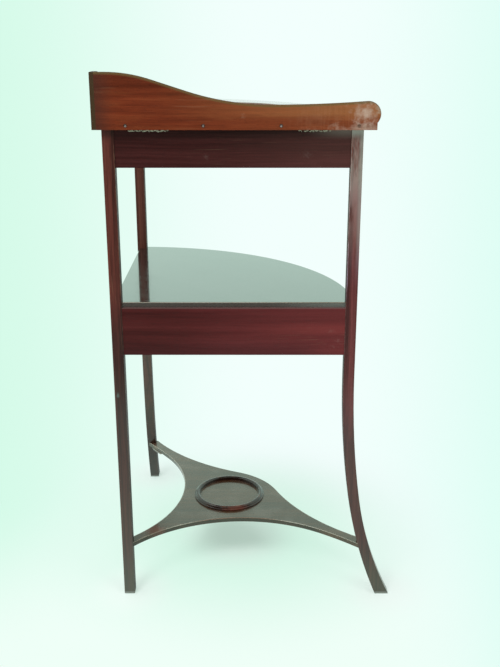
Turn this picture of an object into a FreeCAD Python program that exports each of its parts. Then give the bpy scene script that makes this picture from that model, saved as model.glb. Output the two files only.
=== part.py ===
import FreeCAD, Part
import os
import re

import Sketcher

# Corner washstand of mahogany: three posts, a basin deck with splash boards on the two wall sides,
# a shelf over a bow-fronted drawer, and a three-armed stretcher with a jug ring.
# Origin: the axis of the corner post, on the floor. +X runs along one wall, +Y along the other, +Z is up.
# Left is the X side and right is the Y side, as seen by someone who stands in front of the drawer.

SIZES = {
    # posts and front legs
    "leg_spacing": 400,             # corner post axis to each front leg axis
    "leg_width": 19.4,              # square section of the posts
    "arris_round": 1,               # rounding along the edges of posts, legs and splash boards
    "splay_top": 440,               # height where a front leg starts to sweep outwards
    "splay_knee": 200,              # height where the sweep tightens
    "knee_sweep": 17.6,             # outward sweep of the outer edge at the knee
    "knee_width": 19.1,             # width of the leg at the knee
    "foot_sweep": 80,               # outward sweep of the outer edge at the floor
    "foot_width": 25.6,             # width of the foot on the floor
    # deck
    "deck_height": 864,             # floor to the underside of the deck
    "deck_thick": 18,
    "deck_overhang": 6,             # past the outer faces of the posts, at the walls
    "deck_bow": 17,                 # past the outer faces of the front legs, at the bow
    "deck_round": 4,                # rounding of the bow edge
    "basin_radius": 140,
    "basin_inset": 165,             # basin axis from the corner axis, along each wall
    "cup_radius": 36,
    "cup_along": 335,               # cup axis from the corner axis, along its wall
    "cup_inset": 60,                # cup axis from the corner axis, away from its wall
    "hole_round": 2,                # rounding of the upper edges of the holes
    # splash boards
    "splash_thick": 7,
    "splash_high": 88.5,            # above the underside of the deck, in the corner
    "splash_low": 38.8,             # at the lowest point of the upper edge
    "splash_nose_high": 44.5,       # at the top of the rounded nose
    "splash_end": 2.4,              # end of a board past the bow of the deck
    "nose_radius": 20,
    "nose_lip": 5.2,                # tip of the nose past the end of the board
    "crown_radius": 236,            # convex part of the upper edge
    "ogee_angle": 17.64,            # slope between the convex and the hollow part, in degrees
    "ogee_end": 262,                # lowest point of the upper edge, from the corner axis
    "screw_first": 30.8,            # first splash screw from the corner axis
    "screw_last": 0.4,              # last splash screw past the axis of the front leg
    "screw_rise": 6.6,              # screws above the underside of the deck
    "screw_length": 28,
    "screw_radius": 1.7,
    "screw_head_radius": 2.9,
    "screw_head_deep": 2.2,
    "screw_sunk": 0.3,              # heads below the face of the board
    "screw_slot": 0.9,
    "screw_slot_deep": 0.8,
    # rails
    "rail_thick": 14,
    "upper_rail_high": 61.6,
    "upper_rail_setback": 2,        # behind the outer faces of the posts
    "lower_rail_high": 85,
    "lower_rail_setback": 1,
    "tenon_long": 6,
    "tenon_thick": 6,
    "tenon_shoulder": 6,            # rail above and below a tenon
    "tenon_inset": 4,               # cheek of a tenon behind the outer face of the rail
    "thin_shoulder": 2,             # the same on the thin bow rails
    "bow_tenon_wide": 9,
    "bow_tenon_inset": 2,           # tenon of a bow rail from the inner face of the leg
    "glue_gap": 0.1,                # room for glue round tenons and dowels
    "block_long": 50,               # rubbed glue blocks
    "block_leg": 16,
    "block_edge": 2,
    "block_inner": 40,              # inner glue block from the corner axis
    "block_outer": 285,             # outer glue block from the corner axis
    # shelf
    "shelf_height": 575,            # floor to the upper face of the shelf
    "shelf_thick": 9,
    "shelf_setback": 4,             # behind the outer faces of the posts
    "shelf_bow": 7.5,               # bow edge past the axes of the front legs
    "shelf_round": 2,
    # drawer frieze
    "front_bow": 3,                 # face of the frieze past the axes of the front legs
    "frieze_thick": 14,
    "upper_bow_thick": 16,
    "bottom_rail_high": 12,
    "bottom_rail_deep": 38,
    "top_rail_high": 10,
    "top_rail_deep": 18,
    "bay_half": 118,                # half the width of the drawer opening
    "divider_thick": 12,
    "runner_wide": 30,
    "guide_high": 20,
    "stop_long": 14,
    "stop_wide": 20,
    "stop_high": 4,
    "stop_inner": 50,               # inner edge of a stop from the middle of the drawer
    "stop_gap": 0.3,
    # drawer
    "drawer_gap": 1,                # round the drawer front
    "running_gap": 0.3,             # drawer sides above the runners
    "drawer_front_thick": 16,
    "drawer_lap": 8,                # wood in front of the ends of the drawer sides
    "side_thick": 8,
    "side_drop": 3,                 # upper edge of the sides below the opening's head
    "back_thick": 8,
    "back_drop": 8,                 # upper edge of the back below the opening's head
    "back_gap": 6,                  # back corners of the drawer from the wall rails
    "bottom_thick": 5,
    "bottom_rise": 7.7,             # underside of the bottom above the lower edge of the sides
    "groove_deep": 4,
    "bead_wide": 3,
    "bead_deep": 7.5,
    "bead_proud": 1.5,
    # knobs
    "knob_base_radius": 6.5,
    "knob_base_thick": 2,
    "knob_neck_radius": 3.6,
    "knob_neck_long": 5,
    "knob_neck_hollow": 0.75,       # depth of the hollow neck below a straight taper
    "knob_shoulder_long": 4.5,
    "knob_shoulder_round": 1.15,    # fullness of the shoulder above a straight taper
    "knob_head_radius": 9,
    "spigot_radius": 2,
    "spigot_tail": 5,               # threaded end behind the nut
    "nut_wide": 9,
    "nut_thick": 3,
    # stretcher and jug ring
    "stretcher_height": 106,        # floor to the upper face
    "stretcher_thick": 9,
    "hollow_out_left": 5.9,         # start of the hollow edge outside the axis of the post, along the X wall
    "hollow_out_right": 8.4,        # the same along the Y wall
    "hollow_out_leg": 8.6,          # end of each hollow edge outside the axis of its front leg
    "hollow_let_in": 2.7,           # ends of the hollow edges behind the inner faces of the posts
    "hollow_full_left": 67.4,       # fullness of the round part, along the X wall
    "hollow_full_right": 70.2,      # the same along the Y wall
    "turn_back": 69.7,              # length of the nearly straight part beside each front leg
    "turn_deep_left": 44.8,         # depth where it begins, along the X wall
    "turn_deep_right": 45.2,        # the same along the Y wall
    "straight_full_left": 1.6,      # fullness of the nearly straight part, along the X wall
    "straight_full_right": 1.3,     # the same along the Y wall
    "bulge_inset": 149.5,           # centre of the rounded front from the corner axis, along each wall
    "bulge_radius": 142.6,          # radius of the rounded front
    "sweep_radius": 402,            # radius of the hollow front edges
    "arm_tip": 14.1,                # front corner of an arm from the axis of its leg
    "stretcher_arris": 0.8,         # flat taken off its edges
    "ring_inset": 185,              # ring axis from the corner axis, along each wall
    "ring_inner": 60,
    "ring_outer": 70,
    "ring_step": 3.6,               # height of the lower bead
    "ring_lower_bead": 1.2,         # fullness of the lower bead
    "ring_quirk": 1.4,
    "ring_lip": 5,                  # height of the inner edge
    "ring_upper_bead": 3.4,         # fullness of the upper bead
    "peg_radius": 2.5,              # dowels between the stretcher and the legs
    "peg_in_leg": 8,
    "peg_in_arm": 3.8,
    "peg_along": 4,                 # dowel of a front leg past the inner face of the leg
    "post_peg_start": 3,
    "post_peg_long": 26,
}

doc = FreeCAD.newDocument("corner_washstand")
sheet = doc.addObject("Spreadsheet::Sheet", "Sizes")
for row, (alias, size) in enumerate(SIZES.items(), 1):
    sheet.set(f"A{row}", alias.replace("_", " "))
    sheet.set(f"B{row}", str(size))
    sheet.setAlias(f"B{row}", alias)
doc.recompute()

UP = FreeCAD.Vector(0, 0, 1)
DIAGONAL = "45"                     # bearing of the drawer from the X wall, in degrees
nodes = []


# Binding sizes to the sheet

def bound(expression):
    """Writes every size in an expression as a reference to its cell."""
    return re.sub(r"[a-z_]+", lambda word: f"Sizes.{word[0]}" if word[0] in SIZES else word[0], expression)


def value(expression):
    """Works out an expression of sizes as a number."""
    return float(sheet.evalExpression(bound(expression)))


def bind(item, **properties):
    """Ties properties of an object to expressions of sizes."""
    for name, expression in properties.items():
        item.setExpression(name, bound(expression))
    return item


def place(item, x="0", y="0", z="0", turn="0"):
    """Ties an object's place to expressions of sizes, turned about the vertical."""
    item.Placement = FreeCAD.Placement(FreeCAD.Vector(), FreeCAD.Rotation(UP, value(turn)))
    for axis, expression in zip("xyz", (x, y, z)):
        item.setExpression(f".Placement.Base.{axis}", bound(expression))
    return item


def place_out(item, out, aside, z, turn=DIAGONAL):
    """Places an object in a frame turned about the corner axis: outwards, aside and up."""
    x = f"({out}) * cos({turn}) - ({aside}) * sin({turn})"
    y = f"({out}) * sin({turn}) + ({aside}) * cos({turn})"
    return place(item, x, y, z, turn)


def node(item, name):
    """Marks an object as one of the washstand's pieces, under its own name."""
    item.Label = name
    nodes.append(item)
    return item


# Primitives and booleans

def box(name, length, width, height):
    return bind(doc.addObject("Part::Box", name), Length=length, Width=width, Height=height)


def cylinder(name, radius, height):
    return bind(doc.addObject("Part::Cylinder", name), Radius=radius, Height=height)


def cut(name, base, *tools):
    """Cuts the tools out of a base."""
    result = doc.addObject("Part::Cut", name)
    result.Base = base
    result.Tool = tools[0] if len(tools) == 1 else group(f"{name}_tools", *tools)
    return result


def group(name, *items):
    result = doc.addObject("Part::Compound", name)
    result.Links = list(items)
    return result


def fuse(name, *items):
    result = doc.addObject("Part::MultiFuse", name)
    result.Shapes = list(items)
    return result


def common(name, *items):
    result = doc.addObject("Part::MultiCommon", name)
    result.Shapes = list(items)
    return result


def mirrored(name, source):
    """The same piece on the other wall: mirrored in the upright plane through the corner and the drawer."""
    result = doc.addObject("Part::Mirroring", name)
    result.Source = source
    result.Normal = FreeCAD.Vector(1, -1, 0)
    return result


def eased(kind, name, base, size, chosen):
    """Takes the sharpness off the edges of a piece that the test picks out."""
    doc.recompute()
    result = doc.addObject(kind, name)
    result.Base = base
    width = value(size)
    result.Edges = [(n, width, width) for n, edge in enumerate(base.Shape.Edges, 1) if chosen(edge)]
    return result


def rounded(name, base, radius, chosen):
    return eased("Part::Fillet", name, base, radius, chosen)


def chamfered(name, base, width, chosen):
    return eased("Part::Chamfer", name, base, width, chosen)


def edge_ends(edge, axis):
    """Lowest and highest place of an edge along x, y or z."""
    bounds = edge.BoundBox
    return getattr(bounds, f"{axis.upper()}Min"), getattr(bounds, f"{axis.upper()}Max")


def lies_at(edge, axis, place_along):
    """True for an edge that lies in a plane across an axis."""
    return all(abs(end - place_along) < 1e-4 for end in edge_ends(edge, axis))


def is_arc(edge, radius):
    return edge.Curve.TypeId == "Part::GeomCircle" and abs(edge.Curve.Radius - radius) < 1e-4


# Sketches

def arc_geometry(start, end, radius, left):
    """The short arc between two points; left tells whether it turns to the left."""
    chord = end - start
    middle = (start + end) * 0.5
    away = FreeCAD.Vector(-chord.y, chord.x, 0).normalize()
    rise = max(radius ** 2 - chord.Length ** 2 / 4, 0) ** 0.5
    centre = middle + away * (rise if left else -rise)
    first, last = (start, end) if left else (end, start)
    angles = [FreeCAD.Vector(1, 0, 0).getAngle(point - centre) for point in (first, last)]
    angles = [-angle if (point - centre).y < 0 else angle for angle, point in zip(angles, (first, last))]
    return Part.ArcOfCircle(Part.Circle(centre, UP, radius), *angles)


def draw(sketch, start, *runs):
    """Draws a closed outline: a run is a line to a point, or an arc with its radius and its turn."""
    runs = [*runs, (start,)] if runs[-1][0] != start else list(runs)
    here = start
    ends = []
    for run in runs:
        there = run[0]
        points = [FreeCAD.Vector(value(x), value(y), 0) for x, y in (here, there)]
        if len(run) == 1:
            index = sketch.addGeometry(Part.LineSegment(*points))
            ends.append((index, 1, 2))
        else:
            left = run[2] == "left"
            index = sketch.addGeometry(arc_geometry(*points, value(run[1]), left))
            ends.append((index, 1, 2) if left else (index, 2, 1))
            radius = sketch.addConstraint(Sketcher.Constraint("Radius", index, value(run[1])))
            sketch.setExpression(f"Constraints[{radius}]", bound(run[1]))
        here = there
    for (index, _, end), (following, begin, _), run in zip(ends, ends[1:] + ends[:1], runs):
        sketch.addConstraint(Sketcher.Constraint("Coincident", index, end, following, begin))
        for kind, expression in zip(("DistanceX", "DistanceY"), run[0]):
            fixed = sketch.addConstraint(Sketcher.Constraint(kind, -1, 1, index, end, value(expression)))
            sketch.setExpression(f"Constraints[{fixed}]", bound(expression))


def bulged(run, rise, fullness):
    """Radius of an arc that stands off its chord by its fullness."""
    return f"((({run}) ^ 2 + ({rise}) ^ 2) / 4 + ({fullness}) ^ 2) / (2 * ({fullness}))"


def sketched_body(name, plane, start, *runs):
    """A body with one sketch of a closed outline on one of its own planes."""
    body = doc.addObject("PartDesign::Body", name)
    sketch = body.newObject("Sketcher::SketchObject", f"{name}_outline")
    support = next(item for item in body.Origin.OriginFeatures if item.Role == plane)
    sketch.AttachmentSupport = [(support, "")]
    sketch.MapMode = "FlatFace"
    doc.recompute()
    draw(sketch, start, *runs)
    return body, sketch


def padded_body(name, plane, length, start, *runs, symmetric=False):
    """An outline padded to a thickness."""
    body, sketch = sketched_body(name, plane, start, *runs)
    pad = body.newObject("PartDesign::Pad", f"{name}_pad")
    pad.Profile = sketch
    pad.SideType = "Symmetric" if symmetric else "One side"
    bind(pad, Length=length)
    return body


def turned_body(name, plane, axis, start, *runs):
    """An outline turned about one of the sketch's axes."""
    body, sketch = sketched_body(name, plane, start, *runs)
    turning = body.newObject("PartDesign::Revolution", f"{name}_turning")
    turning.Profile = sketch
    turning.ReferenceAxis = (sketch, [axis])
    return body


# Places that several pieces share

HALF = "leg_width / 2"
WALL_EDGE = f"-({HALF} + deck_overhang)"
DECK_RADIUS = f"(leg_spacing + {HALF} + deck_bow)"
FACE_RADIUS = "(leg_spacing + front_bow)"
SHELF_RADIUS = "(leg_spacing + shelf_bow)"
SHELF_UNDER = "(shelf_height - shelf_thick)"
UPPER_RAIL_LOW = "(deck_height - upper_rail_high)"
LOWER_RAIL_LOW = f"({SHELF_UNDER} - lower_rail_high)"
BAY_LOW = f"({LOWER_RAIL_LOW} + bottom_rail_high)"
BAY_HIGH = f"({SHELF_UNDER} - top_rail_high)"
LOWER_INSIDE = f"(rail_thick + lower_rail_setback - {HALF})"
UPPER_INSIDE = f"(rail_thick + upper_rail_setback - {HALF})"
BOTTOM_RAIL_INNER = f"({FACE_RADIUS} - bottom_rail_deep)"
DRAWER_HALF = "(bay_half - drawer_gap)"
DRAWER_BACK = f"(sqrt(2) * {LOWER_INSIDE} + {DRAWER_HALF} + back_gap)"
DRAWER_LOW = f"({BAY_LOW} + running_gap)"
BOTTOM_LOW = f"({DRAWER_LOW} + bottom_rise)"
DRAWER_INNER = f"({FACE_RADIUS} - drawer_front_thick)"
DIVIDER_OUTSIDE = "(bay_half + divider_thick)"
KNOB_HEIGHT = f"(({BAY_LOW} + {BAY_HIGH}) / 2)"
STRETCHER_LOW = "(stretcher_height - stretcher_thick)"
STRETCHER_MIDDLE = "(stretcher_height - stretcher_thick / 2)"


# Rails between two posts

def straight_rail(name, high, low, setback):
    """A rail along the X wall, with a tenon on each end."""
    board = box(f"{name}_board", "leg_spacing - leg_width", "rail_thick", high)
    place(board, HALF, f"{setback} - {HALF}", low)
    tenons = box(f"{name}_tenons", "leg_spacing - leg_width + 2 * tenon_long", "tenon_thick",
                 f"{high} - 2 * tenon_shoulder")
    place(tenons, f"{HALF} - tenon_long", f"{setback} + tenon_inset - {HALF}", f"{low} + tenon_shoulder")
    return fuse(name, board, tenons)


def straight_mortises(name, high, low, setback):
    """The two sockets for a straight rail's tenons, as one bar through both posts."""
    bar = box(name, "leg_spacing - leg_width + 2 * (tenon_long + glue_gap)", "tenon_thick + 2 * glue_gap",
              f"{high} - 2 * tenon_shoulder + 2 * glue_gap")
    return place(bar, f"{HALF} - tenon_long - glue_gap", f"{setback} + tenon_inset - {HALF} - glue_gap",
                 f"{low} + tenon_shoulder - glue_gap")


def bow_ring(name, outer, deep, low, high):
    """A ring about the corner axis, from an outer radius inwards."""
    outside = place(cylinder(f"{name}_outside", outer, high), z=low)
    inside = place(cylinder(f"{name}_inside", f"{outer} - {deep}", high), z=low)
    return cut(f"{name}_ring", outside, inside)


def between_walls(name, inside, low, high):
    """The space in front of two upright planes, one along each wall."""
    space = box(name, f"{DECK_RADIUS} - {inside}", f"{DECK_RADIUS} - {inside}", high)
    return place(space, inside, inside, low)


def bow_tenon(name, low, high, shoulder, room):
    """A tenon of a bow rail in the left leg; room is what is added all round for a socket."""
    tenon = box(name, f"bow_tenon_wide + 2 * {room}", f"2 * tenon_long + {room}",
                f"{high} - 2 * {shoulder} + 2 * {room}")
    return place(tenon, f"leg_spacing - {HALF} + bow_tenon_inset - {room}",
                 f"{HALF} - tenon_long - {room}", f"{low} + {shoulder} - {room}")


def bow_rail(name, deep, low, high, shoulder):
    """A bowed rail from leg to leg, with a tenon on each end."""
    arc = common(f"{name}_arc", bow_ring(name, FACE_RADIUS, deep, low, high),
                 between_walls(f"{name}_span", HALF, low, high))
    tenon = bow_tenon(f"{name}_tenon", low, high, shoulder, "0")
    return fuse(name, arc, tenon, mirrored(f"{name}_tenon_right", tenon))


BOW_RAILS = {
    "upper_rail_front": ("upper_bow_thick", UPPER_RAIL_LOW, "upper_rail_high", "tenon_shoulder"),
    "front_top_rail": ("top_rail_deep", BAY_HIGH, "top_rail_high", "thin_shoulder"),
    "front_bottom_rail": ("bottom_rail_deep", LOWER_RAIL_LOW, "bottom_rail_high", "thin_shoulder"),
}
STRAIGHT_RAILS = {
    "upper_rail": ("upper_rail_high", UPPER_RAIL_LOW, "upper_rail_setback"),
    "lower_rail": ("lower_rail_high", LOWER_RAIL_LOW, "lower_rail_setback"),
}

for name, (deep, low, high, shoulder) in BOW_RAILS.items():
    node(bow_rail(name, deep, low, high, shoulder), name)
left_mortises = []
for name, (high, low, setback) in STRAIGHT_RAILS.items():
    rail = node(straight_rail(f"{name}_left", high, low, setback), f"{name}_left")
    node(mirrored(f"{name}_right", rail), f"{name}_right")
    left_mortises.append(straight_mortises(f"{name}_mortises", high, low, setback))
bow_mortises = [bow_tenon(f"{name}_mortise", low, high, shoulder, "glue_gap")
                for name, (deep, low, high, shoulder) in BOW_RAILS.items()]


# Sweep of the front legs: two arcs, upright at the top of the sweep and smooth at the knee

UPPER_DROP = "(splay_top - splay_knee)"
OUTER_TOP, INNER_TOP = f"({HALF})", f"(-{HALF})"
OUTER_KNEE, INNER_KNEE = f"({HALF} + knee_sweep)", f"({HALF} + knee_sweep - knee_width)"
OUTER_FOOT, INNER_FOOT = f"({HALF} + foot_sweep)", f"({HALF} + foot_sweep - foot_width)"


def upper_sweep(top, knee):
    """Radius of the arc from the upright part of the leg to the knee."""
    return f"({UPPER_DROP} ^ 2 + ({knee} - {top}) ^ 2) / (2 * ({knee} - {top}))"


def knee_angle(top, knee):
    """Slope of the leg at the knee."""
    return f"(2 * atan(({knee} - {top}) / {UPPER_DROP}))"


def lower_sweep(top, knee, foot):
    """Radius of the arc from the knee to the floor."""
    chord = f"sqrt(splay_knee ^ 2 + ({foot} - {knee}) ^ 2)"
    return f"({chord} / (2 * sin(atan(({foot} - {knee}) / splay_knee) - {knee_angle(top, knee)})))"


def leg_inside_at(height):
    """The inner edge of a front leg below the knee, from the axis of the leg's upper part."""
    radius = lower_sweep(INNER_TOP, INNER_KNEE, INNER_FOOT)
    angle = knee_angle(INNER_TOP, INNER_KNEE)
    sine = f"(sin({angle}) + (splay_knee - {height}) / {radius})"
    return f"({INNER_KNEE} + {radius} * (cos({angle}) - sqrt(1 - {sine} ^ 2)))"


leg_body = padded_body(
    "front_leg_body", "XZ_Plane", "leg_width",
    (INNER_TOP, "deck_height"),
    ((INNER_TOP, "splay_top"),),
    ((INNER_KNEE, "splay_knee"), upper_sweep(INNER_TOP, INNER_KNEE), "left"),
    ((INNER_FOOT, "0"), lower_sweep(INNER_TOP, INNER_KNEE, INNER_FOOT), "left"),
    ((OUTER_FOOT, "0"),),
    ((OUTER_KNEE, "splay_knee"), lower_sweep(OUTER_TOP, OUTER_KNEE, OUTER_FOOT), "right"),
    ((OUTER_TOP, "splay_top"), upper_sweep(OUTER_TOP, OUTER_KNEE), "right"),
    ((OUTER_TOP, "deck_height"),),
    symmetric=True)
place(leg_body, "leg_spacing")


def is_leg_arris(edge):
    """The edges that run down a leg and those round its foot."""
    low, high = edge_ends(edge, "z")
    near, far = edge_ends(edge, "y")
    runs_down = high - low > value("leg_width") and far - near < value("arris_round")
    return runs_down or lies_at(edge, "z", 0)


leg_blank = rounded("front_leg_blank", leg_body, "arris_round", is_leg_arris)
post_body = place(box("corner_post_body", "leg_width", "leg_width", "deck_height"), f"-{HALF}", f"-{HALF}")
post_blank = rounded("corner_post_blank", post_body, "arris_round", is_leg_arris)


# Stretcher: hollow edges along the walls, a serpentine front edge round the jug ring

LEG_INSIDE = f"(leg_spacing + {leg_inside_at(STRETCHER_MIDDLE)})"
ARM_END = f"({LEG_INSIDE} + {HALF})"
HOLLOW_START = f"({HALF} - hollow_let_in)"
HOLLOW_END = f"({LEG_INSIDE} + hollow_let_in)"
HOLLOW_TURN = f"({HOLLOW_END} - turn_back)"
LEFT_OUT, RIGHT_OUT, LEG_OUT = "(-hollow_out_left)", "(-hollow_out_right)", "(-hollow_out_leg)"
BULGE_TO_TIP = f"sqrt(({ARM_END} - bulge_inset) ^ 2 + (arm_tip - bulge_inset) ^ 2)"
BULGE_TO_SWEEP = "(bulge_radius + sweep_radius)"
BULGE_ANGLE = (f"(atan((arm_tip - bulge_inset) / ({ARM_END} - bulge_inset))"
               f" + acos(({BULGE_TO_TIP} ^ 2 + {BULGE_TO_SWEEP} ^ 2 - sweep_radius ^ 2)"
               f" / (2 * {BULGE_TO_TIP} * {BULGE_TO_SWEEP})))")
BULGE_ALONG = f"bulge_inset + bulge_radius * cos({BULGE_ANGLE})"
BULGE_ACROSS = f"bulge_inset + bulge_radius * sin({BULGE_ANGLE})"


def hollow(side):
    """Radius of the round part of a hollow edge, beside the corner post."""
    return bulged(f"{HOLLOW_TURN} - {HOLLOW_START}", f"turn_deep_{side} + hollow_out_{side}",
                  f"hollow_full_{side}")


def straight(side):
    """Radius of the nearly straight part of a hollow edge, beside a front leg."""
    return bulged("turn_back", f"turn_deep_{side} + hollow_out_leg", f"straight_full_{side}")


stretcher_body = padded_body(
    "stretcher_body", "XY_Plane", "stretcher_thick",
    (HOLLOW_START, LEFT_OUT),
    ((HOLLOW_TURN, "turn_deep_left"), hollow("left"), "right"),
    ((HOLLOW_END, LEG_OUT), straight("left"), "right"),
    ((ARM_END, LEG_OUT),),
    ((ARM_END, "arm_tip"),),
    ((BULGE_ALONG, BULGE_ACROSS), "sweep_radius", "right"),
    ((BULGE_ACROSS, BULGE_ALONG), "bulge_radius", "left"),
    (("arm_tip", ARM_END), "sweep_radius", "right"),
    ((LEG_OUT, ARM_END),),
    ((LEG_OUT, HOLLOW_END),),
    (("turn_deep_right", HOLLOW_TURN), straight("right"), "right"),
    ((RIGHT_OUT, HOLLOW_START), hollow("right"), "right"),
    ((RIGHT_OUT, LEFT_OUT),))
place(stretcher_body, z=STRETCHER_LOW)


def is_stretcher_edge(edge):
    """The curved edges round the upper and lower faces of the stretcher."""
    low, high = edge_ends(edge, "z")
    return edge.Curve.TypeId == "Part::GeomCircle" and high - low < value("stretcher_arris")


stretcher_blank = chamfered("stretcher_blank", stretcher_body, "stretcher_arris", is_stretcher_edge)


def leg_peg(name, room):
    """A dowel from the side of the left leg into the end of the stretcher's arm."""
    peg = cylinder(name, f"peg_radius + {room}", f"peg_in_arm + peg_in_leg + 2 * {room}")
    place(peg, f"{LEG_INSIDE} + peg_along", f"{HALF} - peg_in_leg - {room}", STRETCHER_MIDDLE)
    peg.Placement.Rotation = FreeCAD.Rotation(UP, FreeCAD.Vector(0, 1, 0))
    return peg


def post_peg(name, room):
    """A dowel from the corner post into the stretcher, along the diagonal."""
    peg = cylinder(name, f"peg_radius + {room}", f"post_peg_long + 2 * {room}")
    start = f"(post_peg_start - {room}) / sqrt(2)"
    place(peg, start, start, STRETCHER_MIDDLE)
    peg.Placement.Rotation = FreeCAD.Rotation(UP, FreeCAD.Vector(1, 1, 0))
    return peg


left_peg = leg_peg("left_peg", "0")
node(group("stretcher_dowels", left_peg, mirrored("right_peg", left_peg), post_peg("post_peg", "0")),
     "stretcher_dowels")
left_peg_hole = leg_peg("left_peg_hole", "glue_gap")
right_peg_hole = mirrored("right_peg_hole", left_peg_hole)
post_peg_hole = post_peg("post_peg_hole", "glue_gap")
right_leg_blank = mirrored("right_leg_blank", leg_blank)
node(cut("stretcher", stretcher_blank, leg_blank, right_leg_blank, post_blank, left_peg_hole, right_peg_hole,
         post_peg_hole), "stretcher")

# Jug ring: two beads with a quirk between them
ring_body = turned_body(
    "stretcher_ring", "XZ_Plane", "V_Axis",
    ("ring_inner", "0"),
    (("ring_outer", "0"),),
    (("ring_outer - ring_quirk / 2", "ring_step"),
     bulged("ring_quirk / 2", "ring_step", "ring_lower_bead"), "left"),
    (("ring_outer - ring_quirk", "ring_step"),),
    (("ring_inner", "ring_lip"),
     bulged("ring_outer - ring_quirk - ring_inner", "ring_lip - ring_step", "ring_upper_bead"), "left"))
node(place(ring_body, "ring_inset", "ring_inset", "stretcher_height"), "stretcher_ring")


# Posts with their mortises

mirrored_mortises = [mirrored(f"{tool.Name}_right", tool) for tool in left_mortises]
node(cut("corner_post", post_blank, *left_mortises, *mirrored_mortises, post_peg_hole),
     "corner_post")
left_leg = node(cut("front_leg_left", leg_blank, *left_mortises, *bow_mortises, left_peg_hole),
                "front_leg_left")
node(mirrored("front_leg_right", left_leg), "front_leg_right")


# Splash boards: an ogee that falls from the corner, a long shallow dip and a rounded nose

OGEE_FALL = "(splash_high - splash_low)"
OGEE_COS, OGEE_SIN = "cos(ogee_angle)", "sin(ogee_angle)"
DIP_RADIUS = f"((ogee_end * {OGEE_SIN} - {OGEE_FALL} * {OGEE_COS}) / (1 - {OGEE_COS}) - crown_radius)"
BOARD_END = f"({DECK_RADIUS} + splash_end)"
NOSE_AXIS = f"({BOARD_END} + nose_lip - nose_radius)"
NOSE_RUN = f"({NOSE_AXIS} - ogee_end)"
NOSE_RISE = "(splash_nose_high - splash_low)"
NOSE_SHARE = f"(2 * {NOSE_RISE} * nose_radius / ({NOSE_RUN} ^ 2 + {NOSE_RISE} ^ 2))"
RISE_RADIUS = f"({NOSE_RUN} ^ 2 / (2 * {NOSE_RISE}) - nose_radius + {NOSE_RISE} / 2)"
NOSE_FOOT = "(splash_nose_high - nose_radius - sqrt(nose_radius ^ 2 - (nose_radius - nose_lip) ^ 2))"


def splash_body(name, start):
    """A splash board along the X wall, from its end in the corner to its nose."""
    body = padded_body(
        name, "XZ_Plane", "splash_thick",
        (start, "0"),
        ((BOARD_END, "0"),),
        ((BOARD_END, NOSE_FOOT),),
        ((f"{NOSE_AXIS} - {NOSE_SHARE} * {NOSE_RUN}", f"splash_nose_high - {NOSE_SHARE} * {NOSE_RISE}"),
         "nose_radius", "left"),
        (("ogee_end", "splash_low"), RISE_RADIUS, "right"),
        ((f"ogee_end - {DIP_RADIUS} * {OGEE_SIN}", f"splash_low + {DIP_RADIUS} * (1 - {OGEE_COS})"),
         DIP_RADIUS, "right"),
        ((f"crown_radius * {OGEE_SIN}", f"splash_high - crown_radius * (1 - {OGEE_COS})"),),
        (("0", "splash_high"), "crown_radius", "left"),
        ((start, "splash_high"),))
    place(body, y=WALL_EDGE, z="deck_height")
    return rounded(f"{name}_eased", body, "arris_round", is_splash_arris)


def is_splash_arris(edge):
    """The edges along the top of a splash board, on its two faces."""
    near, far = edge_ends(edge, "y")
    nose_foot = value(f"deck_height + {NOSE_FOOT} - arris_round")
    return far - near < value("arris_round") and edge_ends(edge, "z")[0] > nose_foot


SCREWS_PER_BOARD = 4
SCREW_PITCH = f"((leg_spacing + screw_last - screw_first) / {SCREWS_PER_BOARD - 1})"


def screw_along(number):
    """Place of a screw along its wall."""
    return f"screw_first + {number} * {SCREW_PITCH}"


def screw(name, number, room):
    """A countersunk screw through the left splash board into the edge of the deck."""
    along = screw_along(number)
    face = f"{WALL_EDGE} - splash_thick + screw_sunk"
    height = "deck_height + screw_rise"
    shank = cylinder(f"{name}_shank", f"screw_radius + {room}", f"screw_length - screw_sunk + {room}")
    head = bind(doc.addObject("Part::Cone", f"{name}_head"), Radius1=f"screw_head_radius + {room}",
                Radius2=f"screw_radius + {room}", Height="screw_head_deep")
    for item in (shank, head):
        place(item, along, face, height)
        item.Placement.Rotation = FreeCAD.Rotation(FreeCAD.Vector(1, 0, 0), -90)
    return fuse(f"{name}_whole", shank, head)


def slotted(name, number):
    """A screw with its slot."""
    whole = screw(name, number, "0")
    slot = box(f"{name}_slot", "2 * screw_head_radius", "screw_slot_deep", "screw_slot")
    place(slot, f"{screw_along(number)} - screw_head_radius",
          f"{WALL_EDGE} - splash_thick + screw_sunk", "deck_height + screw_rise - screw_slot / 2")
    return cut(name, whole, slot)


def screw_hole(name, number):
    """The hole for a screw, open to the face of the board."""
    whole = screw(name, number, "glue_gap")
    mouth = cylinder(f"{name}_mouth", "screw_head_radius + glue_gap", "screw_sunk")
    place(mouth, screw_along(number), f"{WALL_EDGE} - splash_thick", "deck_height + screw_rise")
    mouth.Placement.Rotation = FreeCAD.Rotation(FreeCAD.Vector(1, 0, 0), -90)
    return fuse(f"{name}_open", whole, mouth)


left_screws = [slotted(f"screw_{number}", number) for number in range(SCREWS_PER_BOARD)]
right_screws = [mirrored(f"{item.Name}_right", item) for item in left_screws]
node(group("splash_screws", *left_screws, *right_screws), "splash_screws")
left_holes = group("left_screw_holes", *[screw_hole(f"screw_hole_{number}", number)
                                         for number in range(SCREWS_PER_BOARD)])
right_holes = mirrored("right_screw_holes", left_holes)
node(cut("splash_board_left", splash_body("left_splash", WALL_EDGE), left_holes), "splash_board_left")
right_splash = splash_body("right_splash", f"{WALL_EDGE} - splash_thick")
right_splash_bored = cut("right_splash_bored", right_splash, left_holes)
node(mirrored("splash_board_right", right_splash_bored), "splash_board_right")


# Deck with its basin hole and two cup holes

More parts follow.
